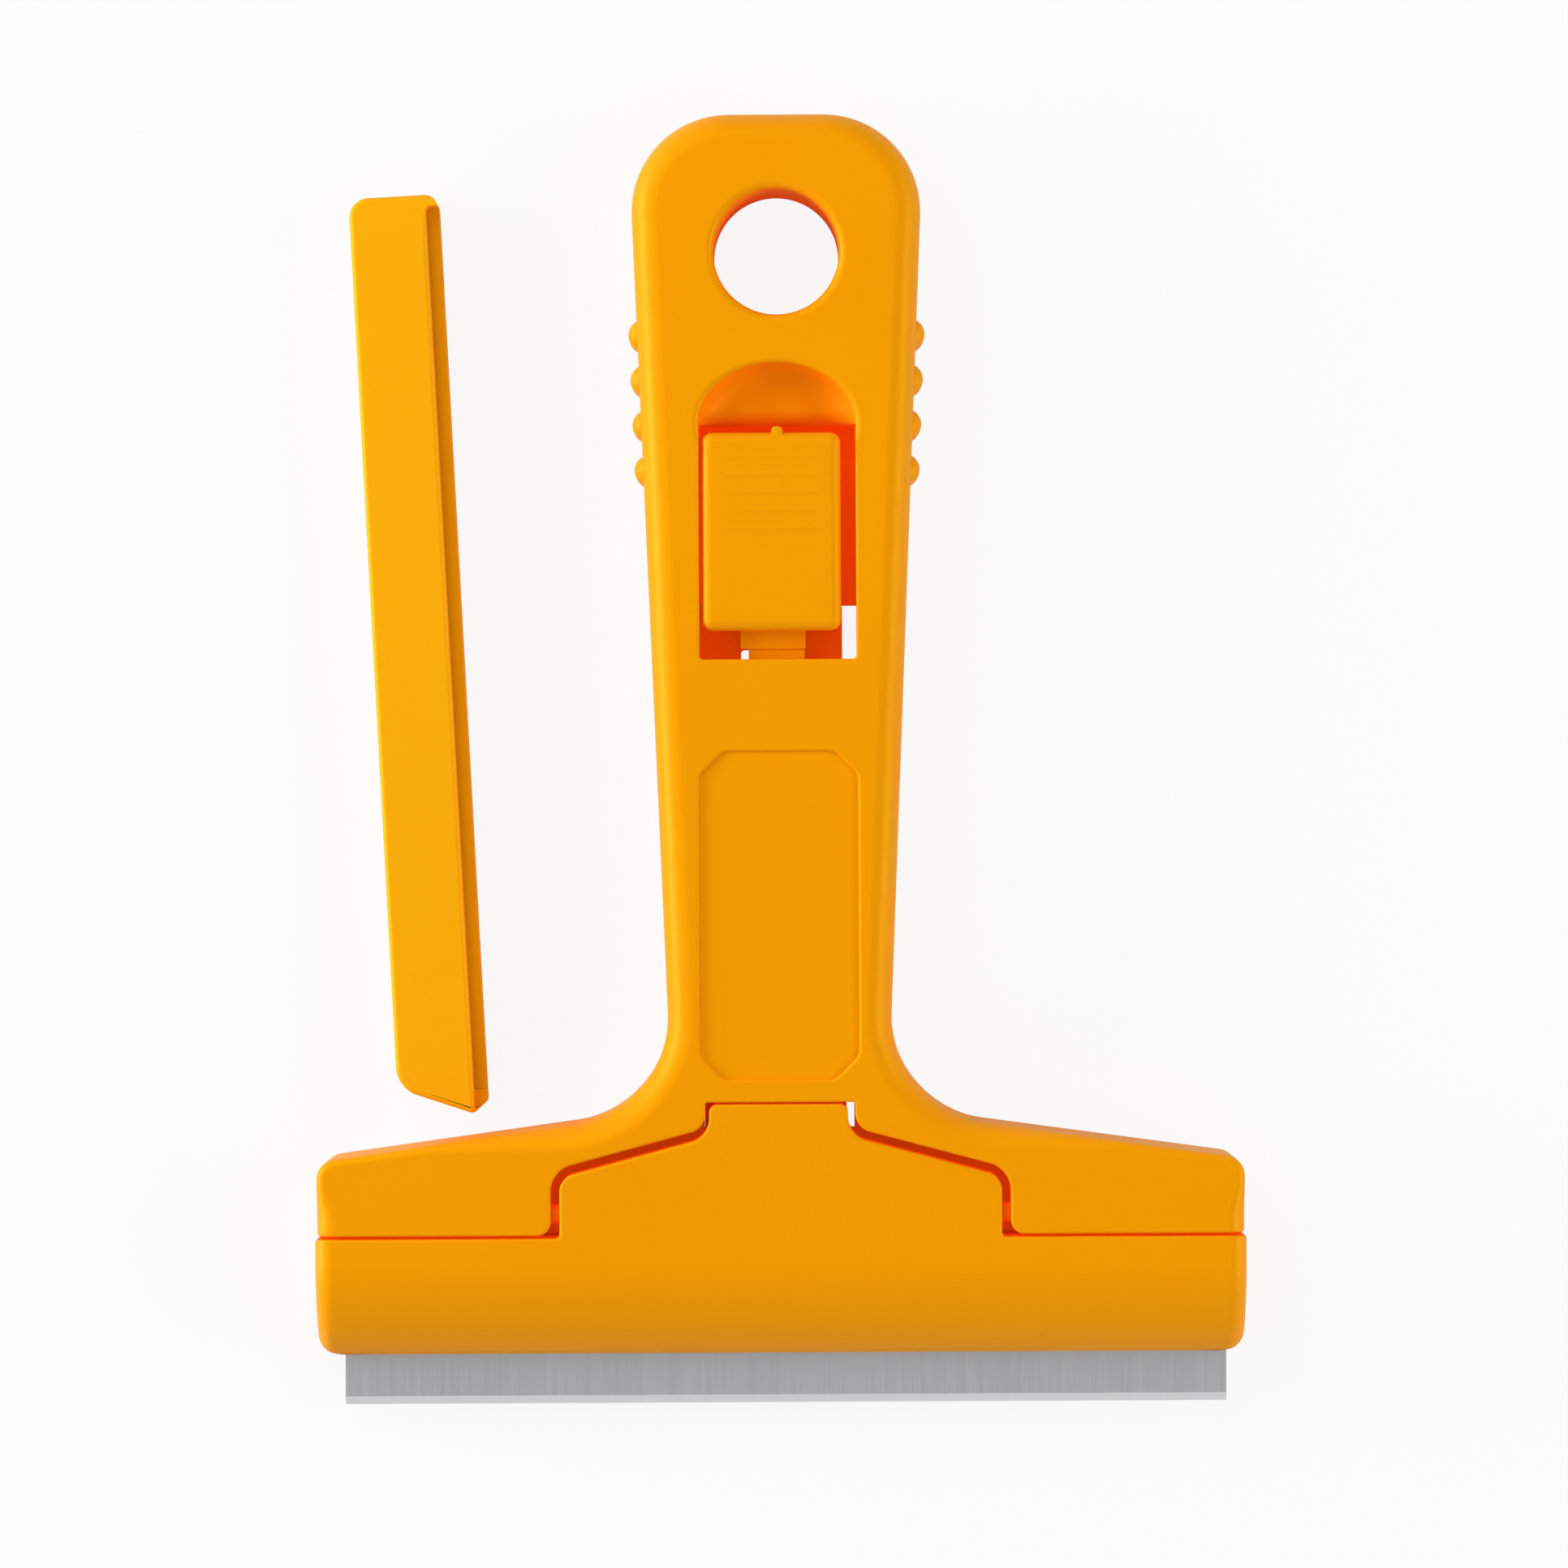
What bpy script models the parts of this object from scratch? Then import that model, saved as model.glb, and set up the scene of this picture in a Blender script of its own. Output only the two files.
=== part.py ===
# Glass scraper: a T-handled scraper that clamps a 100 mm steel blade, with its loose blade guard.
#
# The tool lies on its back. X runs across the head, Y from the cutting edge up the handle, Z out of
# the front face. Sizes are worked out from the cutting edge (Y = 0) and the centreline (X = 0). An
# empty at the end moves the whole tool so that the origin is under the middle of its length.

from math import ceil, cos, pi, radians, sin, sqrt, tan

import bmesh
import bpy
from mathutils import Matrix, Vector

MM = 0.001

# Gaps
FIT_GAP = 0.3 * MM              # between two pieces that seat on or run along each other
BLOCK_GAP = 1.0 * MM            # open gap beside and above the jaw's centre block
TONGUE_GAP = 0.65 * MM          # open gap on each side of the jaw's tongue

# Whole tool
OVERALL_LENGTH = 145.5 * MM     # cutting edge to the end of the handle
BODY_THICKNESS = 12.0 * MM
BACK_WALL = 2.5 * MM            # floor under the blade and behind the slider
FRONT_SKIN = 2.0 * MM           # wall in front of the slide channel
FRONT_ROUND = 3.0 * MM          # rounding of the handle's front edge
HEAD_ROUND = 2.0 * MM           # the same rounding where it reaches the ends of the head
BACK_ROUND = 1.0 * MM

# Handle
NECK_Y = 33.6 * MM              # where the shoulders would meet the handle's sides
NECK_HALF_WIDTH = 12.15 * MM
NECK_FILLET = 12.0 * MM
END_HALF_WIDTH = 16.7 * MM      # the sides' width if they ran on to the end of the handle
END_CORNER = 10.5 * MM
HANG_HOLE_INSET = 15.6 * MM     # from the end of the handle to the hole's centre
HANG_HOLE_RADIUS = 7.05 * MM
HANG_HOLE_RIM = 0.8 * MM
GRIP_COUNT = 4
GRIP_INSET = 24.7 * MM          # from the end of the handle to the nearest grip bump
GRIP_PITCH = 5.08 * MM
GRIP_RADIUS = 1.8 * MM
GRIP_PROUD = 1.0 * MM           # how far a grip bump stands out of the handle's side
GRIP_HEIGHT = 7.6 * MM
PANEL_STRIP = 2.3 * MM          # front face left between the jaw's notch and the shallow panel
PANEL_WINDOW_STRIP = 10.3 * MM  # front face left between the panel and the window
PANEL_WIDTH = 17.9 * MM
PANEL_DEPTH = 0.4 * MM
PANEL_CHAMFER = 2.7 * MM
PANEL_CORNER = 1.5 * MM         # rounding where a chamfer meets a side

# Head
HEAD_MARGIN = 2.05 * MM         # how far the shoulders reach past each end of a centred blade
HEAD_CORNER = 2.5 * MM
SHOULDER_END_Y = 28.1 * MM      # top of the shoulder at the end of the head, before rounding
SHOULDER_CORNER = 2.3 * MM
SHOULDER_WALL = 2.2 * MM
SHOULDER_POCKETS = 3            # moulding pockets in the back of each shoulder
SHOULDER_RIB = 1.4 * MM
POCKET_CORNER = 0.6 * MM
BACK_BEVEL_LENGTH = 4.0 * MM    # the back plate thins towards the blade's edge
BACK_BEVEL_DEPTH = 1.3 * MM
BAY_CORNER = 1.5 * MM           # rounding of the shoulders' inner lower corners

# Blade
BLADE_WIDTH = 100.0 * MM
BLADE_DEPTH = 18.0 * MM
BLADE_THICKNESS = 0.4 * MM
BLADE_EXPOSED = 6.0 * MM        # from the cutting edge to the head
BLADE_GROUND = 0.9 * MM         # width of the ground strip along the edge
BLADE_EDGE = 0.08 * MM          # what is left of the thickness at the cutting edge
BLADE_SHIFT = 0.5 * MM          # how far to the right it is clamped

# Clamp jaw
JAW_OVERHANG = 0.25 * MM        # how far it reaches past the shoulders on each side
JAW_WALL = 2.0 * MM
JAW_SKIN = 2.2 * MM
JAW_LIP = 3.5 * MM              # solid lip that presses on the blade
JAW_EDGE_ROUND = 0.3 * MM
JAW_END_ROUND = 2.0 * MM        # rounding from the front face to the ends of the bar
JAW_RIBS = 7
JAW_RIB = 1.4 * MM
SEAM_Y = 19.4 * MM              # top of the jaw's wide bar
NOSE_LENGTH = 10.5 * MM         # the bar's front face curves back over this length
NOSE_DROP = 5.5 * MM
BLOCK_HALF_WIDTH = 24.8 * MM
BLOCK_CORNER_Y = 26.2 * MM
BLOCK_SLOPE = radians(15)
BLOCK_ROUND = 2.0 * MM
TONGUE_HALF_WIDTH = 7.7 * MM
TONGUE_RISE = 3.12 * MM         # from the top of the block's slope to the end of the tongue
TONGUE_ROUND = 1.0 * MM
TONGUE_FILLET = 2.6 * MM
TAIL_WALL = 1.7 * MM            # end wall of the tongue, with the rounded foot under it
FOOT_RADIUS = 0.8 * MM
PIVOT_Y = 22.0 * MM
PIVOT_Z = 9.6 * MM
TRUNNION_RADIUS = 1.1 * MM
TRUNNION_REACH = 2.0 * MM       # length of a trunnion inside the shoulder
JAW_OPENING = radians(5)

# Slider and the window it shows through
WINDOW_INSET = 34.9 * MM        # from the end of the handle to the window
WINDOW_WIDTH = 17.6 * MM
WINDOW_LENGTH = 26.4 * MM
SCOOP_INSET = 0.1 * MM          # the thumb scoop is this much narrower on each side
SCOOP_LENGTH = 6.8 * MM
SCOOP_DEPTH = 3.5 * MM
BACK_OPEN_LENGTH = 6.3 * MM     # the lower end of the window has no back wall over this length
TONGUE_BACK_GAP = 2.8 * MM      # the back wall behind the jaw stops short of the tongue's end by this
END_CORE_LENGTH = 7.4 * MM      # moulding pocket in the back, between window and hang hole
END_CORE_WALL = 2.0 * MM
END_CORE_DEPTH = 6.5 * MM
END_CORE_CORNER = 2.7 * MM
SLIDE_TRAVEL = 2.9 * MM
SLIDER_SHIFT = -0.7 * MM        # the knob sits to the left of the window's middle
KNOB_WIDTH = 15.6 * MM
KNOB_LENGTH = 22.2 * MM
KNOB_CORNER = 1.0 * MM
KNOB_ROUND = 0.9 * MM
KNOB_PROUD = 0.2 * MM
NUB_WIDTH = 1.1 * MM
NUB_DROP = 0.7 * MM             # from the knob's top face down to the nub's
CARRIAGE_THICKNESS = 2.4 * MM
CARRIAGE_MARGIN = 0.3 * MM      # the carriage is wider than the knob, and the channel than the window
CARRIAGE_REACH = 12.2 * MM      # how far the carriage runs on below the window
CARRIAGE_END_WALL = 2.5 * MM
CARRIAGE_HOLE_WIDTH = 7.0 * MM
PAD_LENGTH = 4.5 * MM           # cam pad at the lower end of the bar, below the jaw's foot
PAD_RISE = 1.3 * MM
FINGER_THICKNESS = 1.8 * MM
FINGER_REACH = 14.2 * MM        # how far the spring finger runs on below the window
FINGER_LEFT = -3.5 * MM
FINGER_RIGHT = 3.7 * MM
FINGER_STEP = 0.9 * MM          # the finger's left side steps in by this much
FINGER_STEP_HEIGHT = 1.2 * MM   # above the window's lower edge
FINGER_BUMP_RADIUS = 1.0 * MM

# Blade guard, in its own axes: across from the spine to the mouth, and along from the lower end
GUARD_THICKNESS = 6.0 * MM
GUARD_FRONT_LIP = 8.6 * MM
GUARD_BACK_LIP = 10.4 * MM
GUARD_SPINE = 2.5 * MM
GUARD_WALL = 0.9 * MM
GUARD_SLOT = 0.9 * MM           # height of the slot for the blade
GUARD_SLOT_START = 2.6 * MM     # lower end of the slot, clear of the slanted end
GUARD_SLANT = 3.3 * MM          # how much shorter the spine is at the lower end
GUARD_FACET = (1.5 * MM, 1.2 * MM)
GUARD_TOP_CORNER = 2.1 * MM
GUARD_ROUND = 0.8 * MM
GUARD_TILT = radians(2.86)
GUARD_INSET = 19.5 * MM         # its lower tip lies this far in from the end of the head
GUARD_STANDOFF = 2.4 * MM       # and this far above the shoulder

# Worked out from the sizes above
HEAD_HALF_WIDTH = BLADE_WIDTH / 2 + HEAD_MARGIN
JAW_HALF_WIDTH = HEAD_HALF_WIDTH + JAW_OVERHANG
TONGUE_TOP = BLOCK_CORNER_Y + (BLOCK_HALF_WIDTH - TONGUE_HALF_WIDTH) * tan(BLOCK_SLOPE) + TONGUE_RISE
HANG_HOLE_Y = OVERALL_LENGTH - HANG_HOLE_INSET
WINDOW_TOP = OVERALL_LENGTH - WINDOW_INSET
WINDOW_BOTTOM = WINDOW_TOP - WINDOW_LENGTH
PANEL_BOTTOM = TONGUE_TOP + FIT_GAP + PANEL_STRIP
PANEL_TOP = WINDOW_BOTTOM - PANEL_WINDOW_STRIP
UPPER_WALL_Y = WINDOW_BOTTOM + BACK_OPEN_LENGTH
LOWER_WALL_Y = TONGUE_TOP - TONGUE_BACK_GAP
CARRIAGE_BOTTOM = WINDOW_BOTTOM - CARRIAGE_REACH
FINGER_BOTTOM = WINDOW_BOTTOM - FINGER_REACH
FINGER_STEP_Y = WINDOW_BOTTOM + FINGER_STEP_HEIGHT
BLADE_Z = BACK_WALL + FIT_GAP
BLADE_TOP_Z = BLADE_Z + BLADE_THICKNESS
LIP_Z = BLADE_TOP_Z + FIT_GAP
CARRIAGE_Z = BACK_WALL + FIT_GAP
CARRIAGE_TOP_Z = CARRIAGE_Z + CARRIAGE_THICKNESS
PAD_Z = CARRIAGE_TOP_Z + PAD_RISE
FOOT_Y = TONGUE_TOP - TAIL_WALL / 2
FOOT_Z = PAD_Z + FIT_GAP + FOOT_RADIUS
PAD_BOTTOM = FOOT_Y - PAD_LENGTH
SKIN_Z = BODY_THICKNESS - FRONT_SKIN
KNOB_BOTTOM = WINDOW_BOTTOM + FIT_GAP + SLIDE_TRAVEL
KNOB_TOP = KNOB_BOTTOM + KNOB_LENGTH
CAM_SLOPE = (FOOT_Y - PIVOT_Y) * sin(JAW_OPENING) / SLIDE_TRAVEL
GUARD_LENGTH = GUARD_SLOT_START + BLADE_WIDTH + 2 * FIT_GAP + GUARD_WALL

PAST = 1.0 * MM                 # how far a cutter runs past the face it opens
ARC_STEP = radians(9)           # turn of one facet on a large round outline
ARC_CHORD = 0.8 * MM            # least length of such a facet on a small one
WELD = 0.001 * MM

# Turns a solid drawn in X and Y and raised in Z into one drawn in Y and Z and raised in X
SIDEWAYS = Matrix(((0, 0, 1, 0), (1, 0, 0, 0), (0, 1, 0, 0), (0, 0, 0, 1)))


# Scene and collections

def clear_scene():
    for leftover in list(bpy.data.objects):
        bpy.data.objects.remove(leftover, do_unlink=True)


def new_collection(name):
    collection = bpy.data.collections.new(name)
    bpy.context.scene.collection.children.link(collection)
    return collection


clear_scene()
parts = new_collection("glass_scraper")
cutters = new_collection("glass_scraper_cutters")


# Materials

def plastic(name, colour, roughness):
    return principled(name, colour, roughness, 0.0)


def principled(name, colour, roughness, metallic):
    material = bpy.data.materials.new(name)
    material.use_nodes = True
    shader = material.node_tree.nodes["Principled BSDF"]
    shader.inputs["Base Color"].default_value = (*colour, 1.0)
    shader.inputs["Roughness"].default_value = roughness
    shader.inputs["Metallic"].default_value = metallic
    material.diffuse_color = (*colour, 1.0)
    return material


# Outlines

def rounded_outline(corners):
    # Corners are (x, y, radius), anticlockwise. A radius of 0 keeps the corner sharp.
    points = []
    for index, (x, y, radius) in enumerate(corners):
        corner = Vector((x, y))
        if radius == 0:
            points.append(corner)
            continue
        before = (Vector(corners[index - 1][:2]) - corner).normalized()
        after = (Vector(corners[(index + 1) % len(corners)][:2]) - corner).normalized()
        half_angle = before.angle(after) / 2
        start = corner + before * (radius / tan(half_angle))
        centre = corner + (before + after).normalized() * (radius / sin(half_angle))
        sweep = pi - 2 * half_angle
        if before.cross(after) > 0:
            sweep = -sweep
        steps = max(2, ceil(min(abs(sweep) / ARC_STEP, abs(sweep) * radius / ARC_CHORD)))
        for step in range(steps + 1):
            points.append(centre + Matrix.Rotation(sweep * step / steps, 2) @ (start - centre))
    return points


def mirrored(right_side):
    # Completes an outline from its right half, which runs from the bottom to the top.
    return right_side + [(-x, y, radius) for x, y, radius in reversed(right_side)]


def rectangle(left, right, bottom, top, radius=0):
    return [(left, bottom, radius), (right, bottom, radius), (right, top, radius), (left, top, radius)]


def chamfered(half_width, bottom, top, chamfer, radius):
    # A centred rectangle with chamfered corners, each end of a chamfer rounded.
    return mirrored([
        (half_width - chamfer, bottom, radius),
        (half_width, bottom + chamfer, radius),
        (half_width, top - chamfer, radius),
        (half_width - chamfer, top, radius),
    ])


def shoulder_y(x):
    # Top edge of the shoulder at a distance x from the centreline.
    slope = (NECK_Y - SHOULDER_END_Y) / (HEAD_HALF_WIDTH - NECK_HALF_WIDTH)
    return SHOULDER_END_Y + (HEAD_HALF_WIDTH - x) * slope


def handle_half_width(y):
    slope = (END_HALF_WIDTH - NECK_HALF_WIDTH) / (OVERALL_LENGTH - NECK_Y)
    return NECK_HALF_WIDTH + (y - NECK_Y) * slope


def body_corners():
    return mirrored([
        (HEAD_HALF_WIDTH, BLADE_EXPOSED, HEAD_CORNER),
        (HEAD_HALF_WIDTH, SHOULDER_END_Y, SHOULDER_CORNER),
        (NECK_HALF_WIDTH, NECK_Y, NECK_FILLET),
        (END_HALF_WIDTH, OVERALL_LENGTH, END_CORNER),
    ])


def crown_corners(side_gap, tongue_gap, end_gap):
    # Right half of the jaw's block and tongue, grown by the gaps, or shrunk by negative ones.
    block_x = BLOCK_HALF_WIDTH + side_gap
    tongue_x = TONGUE_HALF_WIDTH + tongue_gap

    def slope_y(x):
        return BLOCK_CORNER_Y + side_gap / cos(BLOCK_SLOPE) + (BLOCK_HALF_WIDTH - x) * tan(BLOCK_SLOPE)

    return [
        (block_x, slope_y(block_x), max(BLOCK_ROUND + side_gap, 0)),
        (tongue_x, slope_y(tongue_x), TONGUE_FILLET - side_gap),
        (tongue_x, TONGUE_TOP + end_gap, TONGUE_ROUND),
    ]


def jaw_corners():
    bar = [
        (JAW_HALF_WIDTH, BLADE_EXPOSED, HEAD_CORNER),
        (JAW_HALF_WIDTH, SEAM_Y, 0),
        (BLOCK_HALF_WIDTH, SEAM_Y, 0),
    ]
    return mirrored(bar + crown_corners(0, 0, 0))


def bay_corners():
    # The opening in the body that the jaw lies in.
    seat_y = SEAM_Y + FIT_GAP
    sill = [
        (JAW_HALF_WIDTH + PAST, -PAST, 0),
        (JAW_HALF_WIDTH + PAST, seat_y, 0),
        (BLOCK_HALF_WIDTH + BLOCK_GAP, seat_y, BAY_CORNER),
    ]
    return mirrored(sill + crown_corners(BLOCK_GAP, TONGUE_GAP, FIT_GAP))


def hollow_corners():
    # The deeper part of that opening, under the jaw's block and tongue.
    sill = [(BLOCK_HALF_WIDTH + BLOCK_GAP, SEAM_Y + FIT_GAP, 0)]
    return mirrored(sill + crown_corners(BLOCK_GAP, TONGUE_GAP, FIT_GAP))


def nose_arc(start_y, inset):
    # The jaw's curved front face in Y and Z, moved into the wall by the inset.
    radius = (NOSE_LENGTH ** 2 + NOSE_DROP ** 2) / (2 * NOSE_DROP)
    centre_y = BLADE_EXPOSED + NOSE_LENGTH
    centre_z = BODY_THICKNESS - radius
    steps = 8
    arc = []
    for step in range(steps + 1):
        y = start_y + (centre_y - start_y) * step / steps
        arc.append((y, centre_z + sqrt((radius - inset) ** 2 - (centre_y - y) ** 2), 0))
    return arc


# Solids

def link_mesh(name, mesh, collection):
    solid = bpy.data.objects.new(name, mesh)
    collection.objects.link(solid)
    if collection == cutters:
        solid.hide_render = True
        solid.display_type = "WIRE"
    return solid


def plate(name, corners, bottom, top, collection, placement=Matrix.Identity(4)):
    # A flat outline raised from bottom to top.
    curve = bpy.data.curves.new(name, "CURVE")
    curve.dimensions = "2D"
    curve.fill_mode = "BOTH"
    curve.extrude = (top - bottom) / 2
    outline = rounded_outline(corners)
    spline = curve.splines.new("POLY")
    spline.points.add(len(outline) - 1)
    for point, (x, y) in zip(spline.points, outline):
        point.co = (x, y, 0, 1)
    spline.use_cyclic_u = True
    drawn = bpy.data.objects.new(name, curve)
    drawn.matrix_world = placement @ Matrix.Translation((0, 0, (bottom + top) / 2))
    cutters.objects.link(drawn)
    bpy.context.view_layer.update()
    mesh = bpy.data.meshes.new_from_object(drawn.evaluated_get(bpy.context.evaluated_depsgraph_get()))
    bm = bmesh.new()
    bm.from_mesh(mesh)
    bmesh.ops.remove_doubles(bm, verts=bm.verts, dist=WELD)
    bmesh.ops.dissolve_limit(bm, angle_limit=radians(0.2), verts=bm.verts, edges=bm.edges)
    bmesh.ops.recalc_face_normals(bm, faces=bm.faces)
    bm.to_mesh(mesh)
    bm.free()
    solid = link_mesh(name + "_solid", mesh, collection)
    solid.matrix_world = drawn.matrix_world.copy()
    bpy.data.objects.remove(drawn, do_unlink=True)
    solid.name = name
    return solid


def side_plate(name, corners, left, right, collection):
    # An outline in Y and Z, raised across the tool from left to right.
    return plate(name, corners, left, right, collection, SIDEWAYS)


def cross_rod(name, y, z, radius, left, right, collection, sides=24):
    # A round rod that lies across the tool.
    mesh = bpy.data.meshes.new(name)
    bm = bmesh.new()
    bmesh.ops.create_cone(bm, cap_ends=True, segments=sides, radius1=radius, radius2=radius,
                          depth=right - left)
    bm.to_mesh(mesh)
    bm.free()
    rod = link_mesh(name, mesh, collection)
    rod.matrix_world = SIDEWAYS @ Matrix.Translation((y, z, (left + right) / 2))
    return rod


def boolean(target, tool, operation):
    modifier = target.modifiers.new(operation.lower() + "_" + tool.name, "BOOLEAN")
    modifier.operation = operation
    modifier.solver = "EXACT"
    modifier.object = tool


def cut(target, *tools):
    for tool in tools:
        boolean(target, tool, "DIFFERENCE")


def join(target, *tools):
    for tool in tools:
        boolean(target, tool, "UNION")


def round_edges(target, width, segments, weight_of=None):
    # Rounds the sharp edges, or those that weight_of(edge) gives a share of the width.
    modifier = target.modifiers.new("rounding", "BEVEL")
    modifier.width = width
    modifier.segments = segments
    modifier.use_clamp_overlap = False
    if weight_of is None:
        modifier.limit_method = "ANGLE"
        modifier.angle_limit = radians(40)
        return
    modifier.limit_method = "WEIGHT"
    bm = bmesh.new()
    bm.from_mesh(target.data)
    layer = bm.edges.layers.float.new("bevel_weight_edge")
    for edge in bm.edges:
        edge[layer] = weight_of(edge)
    bm.to_mesh(target.data)
    bm.free()


def edge_middle(edge):
    return (edge.verts[0].co + edge.verts[1].co) / 2


def lies_flat(edge):
    return abs(edge.verts[0].co.z - edge.verts[1].co.z) < WELD


def smooth(target):
    target.data.shade_smooth()
    target.data.set_sharp_from_angle(angle=radians(30))


# Handle body

def body_plate():
    body = plate("handle_body", body_corners(), 0, BODY_THICKNESS, parts)
    bm = bmesh.new()
    bm.from_mesh(body.data)
    long_edges = [edge for edge in bm.edges
                  if lies_flat(edge) and SHOULDER_END_Y < edge_middle(edge).y < NECK_Y]
    bmesh.ops.bisect_edges(bm, edges=[edge for edge in long_edges if edge.calc_length() > NECK_FILLET],
                           cuts=6)
    bm.to_mesh(body.data)
    bm.free()

    # The front rounding narrows from the neck to the ends of the head
    taper_start = NECK_HALF_WIDTH + NECK_FILLET
    taper_end = HEAD_HALF_WIDTH - 3 * SHOULDER_CORNER

    def weight_of(edge):
        if not lies_flat(edge):
            return 0.0
        middle = edge_middle(edge)
        if middle.z < 0:
            return BACK_ROUND / FRONT_ROUND
        along = (abs(middle.x) - taper_start) / (taper_end - taper_start)
        along = 1.0 if middle.y < SEAM_Y else min(max(along, 0.0), 1.0)
        return 1.0 + (HEAD_ROUND / FRONT_ROUND - 1.0) * along

    round_edges(body, FRONT_ROUND, 4, weight_of)
    return body


def grip_bumps():
    # Upright capsules half sunk in the handle's sides.
    mesh = bpy.data.meshes.new("grip_bumps")
    bm = bmesh.new()
    for index in range(GRIP_COUNT):
        y = OVERALL_LENGTH - GRIP_INSET - index * GRIP_PITCH
        x = handle_half_width(y) + GRIP_PROUD - GRIP_RADIUS
        for side in (-1, 1):
            ball = bmesh.ops.create_uvsphere(bm, u_segments=16, v_segments=7, radius=GRIP_RADIUS)["verts"]
            stretch = GRIP_HEIGHT / 2 - GRIP_RADIUS
            for vert in ball:
                vert.co.z += stretch if vert.co.z > 0 else -stretch
            bmesh.ops.translate(bm, verts=ball, vec=(side * x, y, BODY_THICKNESS / 2))
    bm.to_mesh(mesh)
    bm.free()
    return link_mesh("grip_bumps", mesh, cutters)


def hang_hole():
    # A turned cutter that flares at both faces, so the hole gets a rounded rim.
    rim_steps = 4
    outer = HANG_HOLE_RADIUS + HANG_HOLE_RIM
    profile = [(0, BODY_THICKNESS + PAST), (outer, BODY_THICKNESS + PAST)]
    for step in range(rim_steps + 1):
        turn = pi / 2 * step / rim_steps
        profile.append((outer - HANG_HOLE_RIM * sin(turn), BODY_THICKNESS - HANG_HOLE_RIM * (1 - cos(turn))))
    for step in range(rim_steps + 1):
        turn = pi / 2 * step / rim_steps
        profile.append((outer - HANG_HOLE_RIM * cos(turn), HANG_HOLE_RIM * (1 - sin(turn))))
    profile += [(outer, -PAST), (0, -PAST)]
    mesh = bpy.data.meshes.new("hang_hole")
    bm = bmesh.new()
    ring = [bm.verts.new((x, 0, z)) for x, z in profile]
    for upper, lower in zip(ring, ring[1:]):
        bm.edges.new((upper, lower))
    bm.to_mesh(mesh)
    bm.free()
    cutter = link_mesh("hang_hole", mesh, cutters)
    screw = cutter.modifiers.new("turn", "SCREW")
    screw.steps = 40
    screw.render_steps = 40
    screw.use_merge_vertices = True
    screw.merge_threshold = 2 * WELD
    cutter.location = (0, HANG_HOLE_Y, 0)
    return cutter


def thumb_scoop():
    mesh = bpy.data.meshes.new("thumb_scoop")
    bm = bmesh.new()
    ball = bmesh.ops.create_uvsphere(bm, u_segments=32, v_segments=16, radius=1)["verts"]
    bmesh.ops.scale(bm, verts=ball, vec=(WINDOW_WIDTH / 2 - SCOOP_INSET, SCOOP_LENGTH, SCOOP_DEPTH))
    bm.to_mesh(mesh)
    bm.free()
    cutter = link_mesh("thumb_scoop", mesh, cutters)
    cutter.location = (0, WINDOW_TOP, BODY_THICKNESS)
    return cutter


def shoulder_pockets():
    # Moulding pockets in the back of the shoulders, with ribs between them.
    inner = BLOCK_HALF_WIDTH + BLOCK_GAP + TRUNNION_REACH + SHOULDER_WALL
    outer = HEAD_HALF_WIDTH - SHOULDER_WALL
    bottom = SEAM_Y + FIT_GAP + SHOULDER_WALL
    width = (outer - inner - (SHOULDER_POCKETS - 1) * SHOULDER_RIB) / SHOULDER_POCKETS
    pockets = []
    for index in range(SHOULDER_POCKETS):
        near = inner + index * (width + SHOULDER_RIB)
        far = near + width
        right = [
            (near, bottom, POCKET_CORNER),
            (far, bottom, POCKET_CORNER),
            (far, shoulder_y(far) - SHOULDER_WALL, POCKET_CORNER),
            (near, shoulder_y(near) - SHOULDER_WALL, POCKET_CORNER),
        ]
        left = [(-x, y, radius) for x, y, radius in reversed(right)]
        for side, corners in (("right", right), ("left", left)):
            name = f"shoulder_pocket_{side}_{index}"
            pockets.append(plate(name, corners, -PAST, BODY_THICKNESS - SHOULDER_WALL, cutters))
    return pockets


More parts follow.
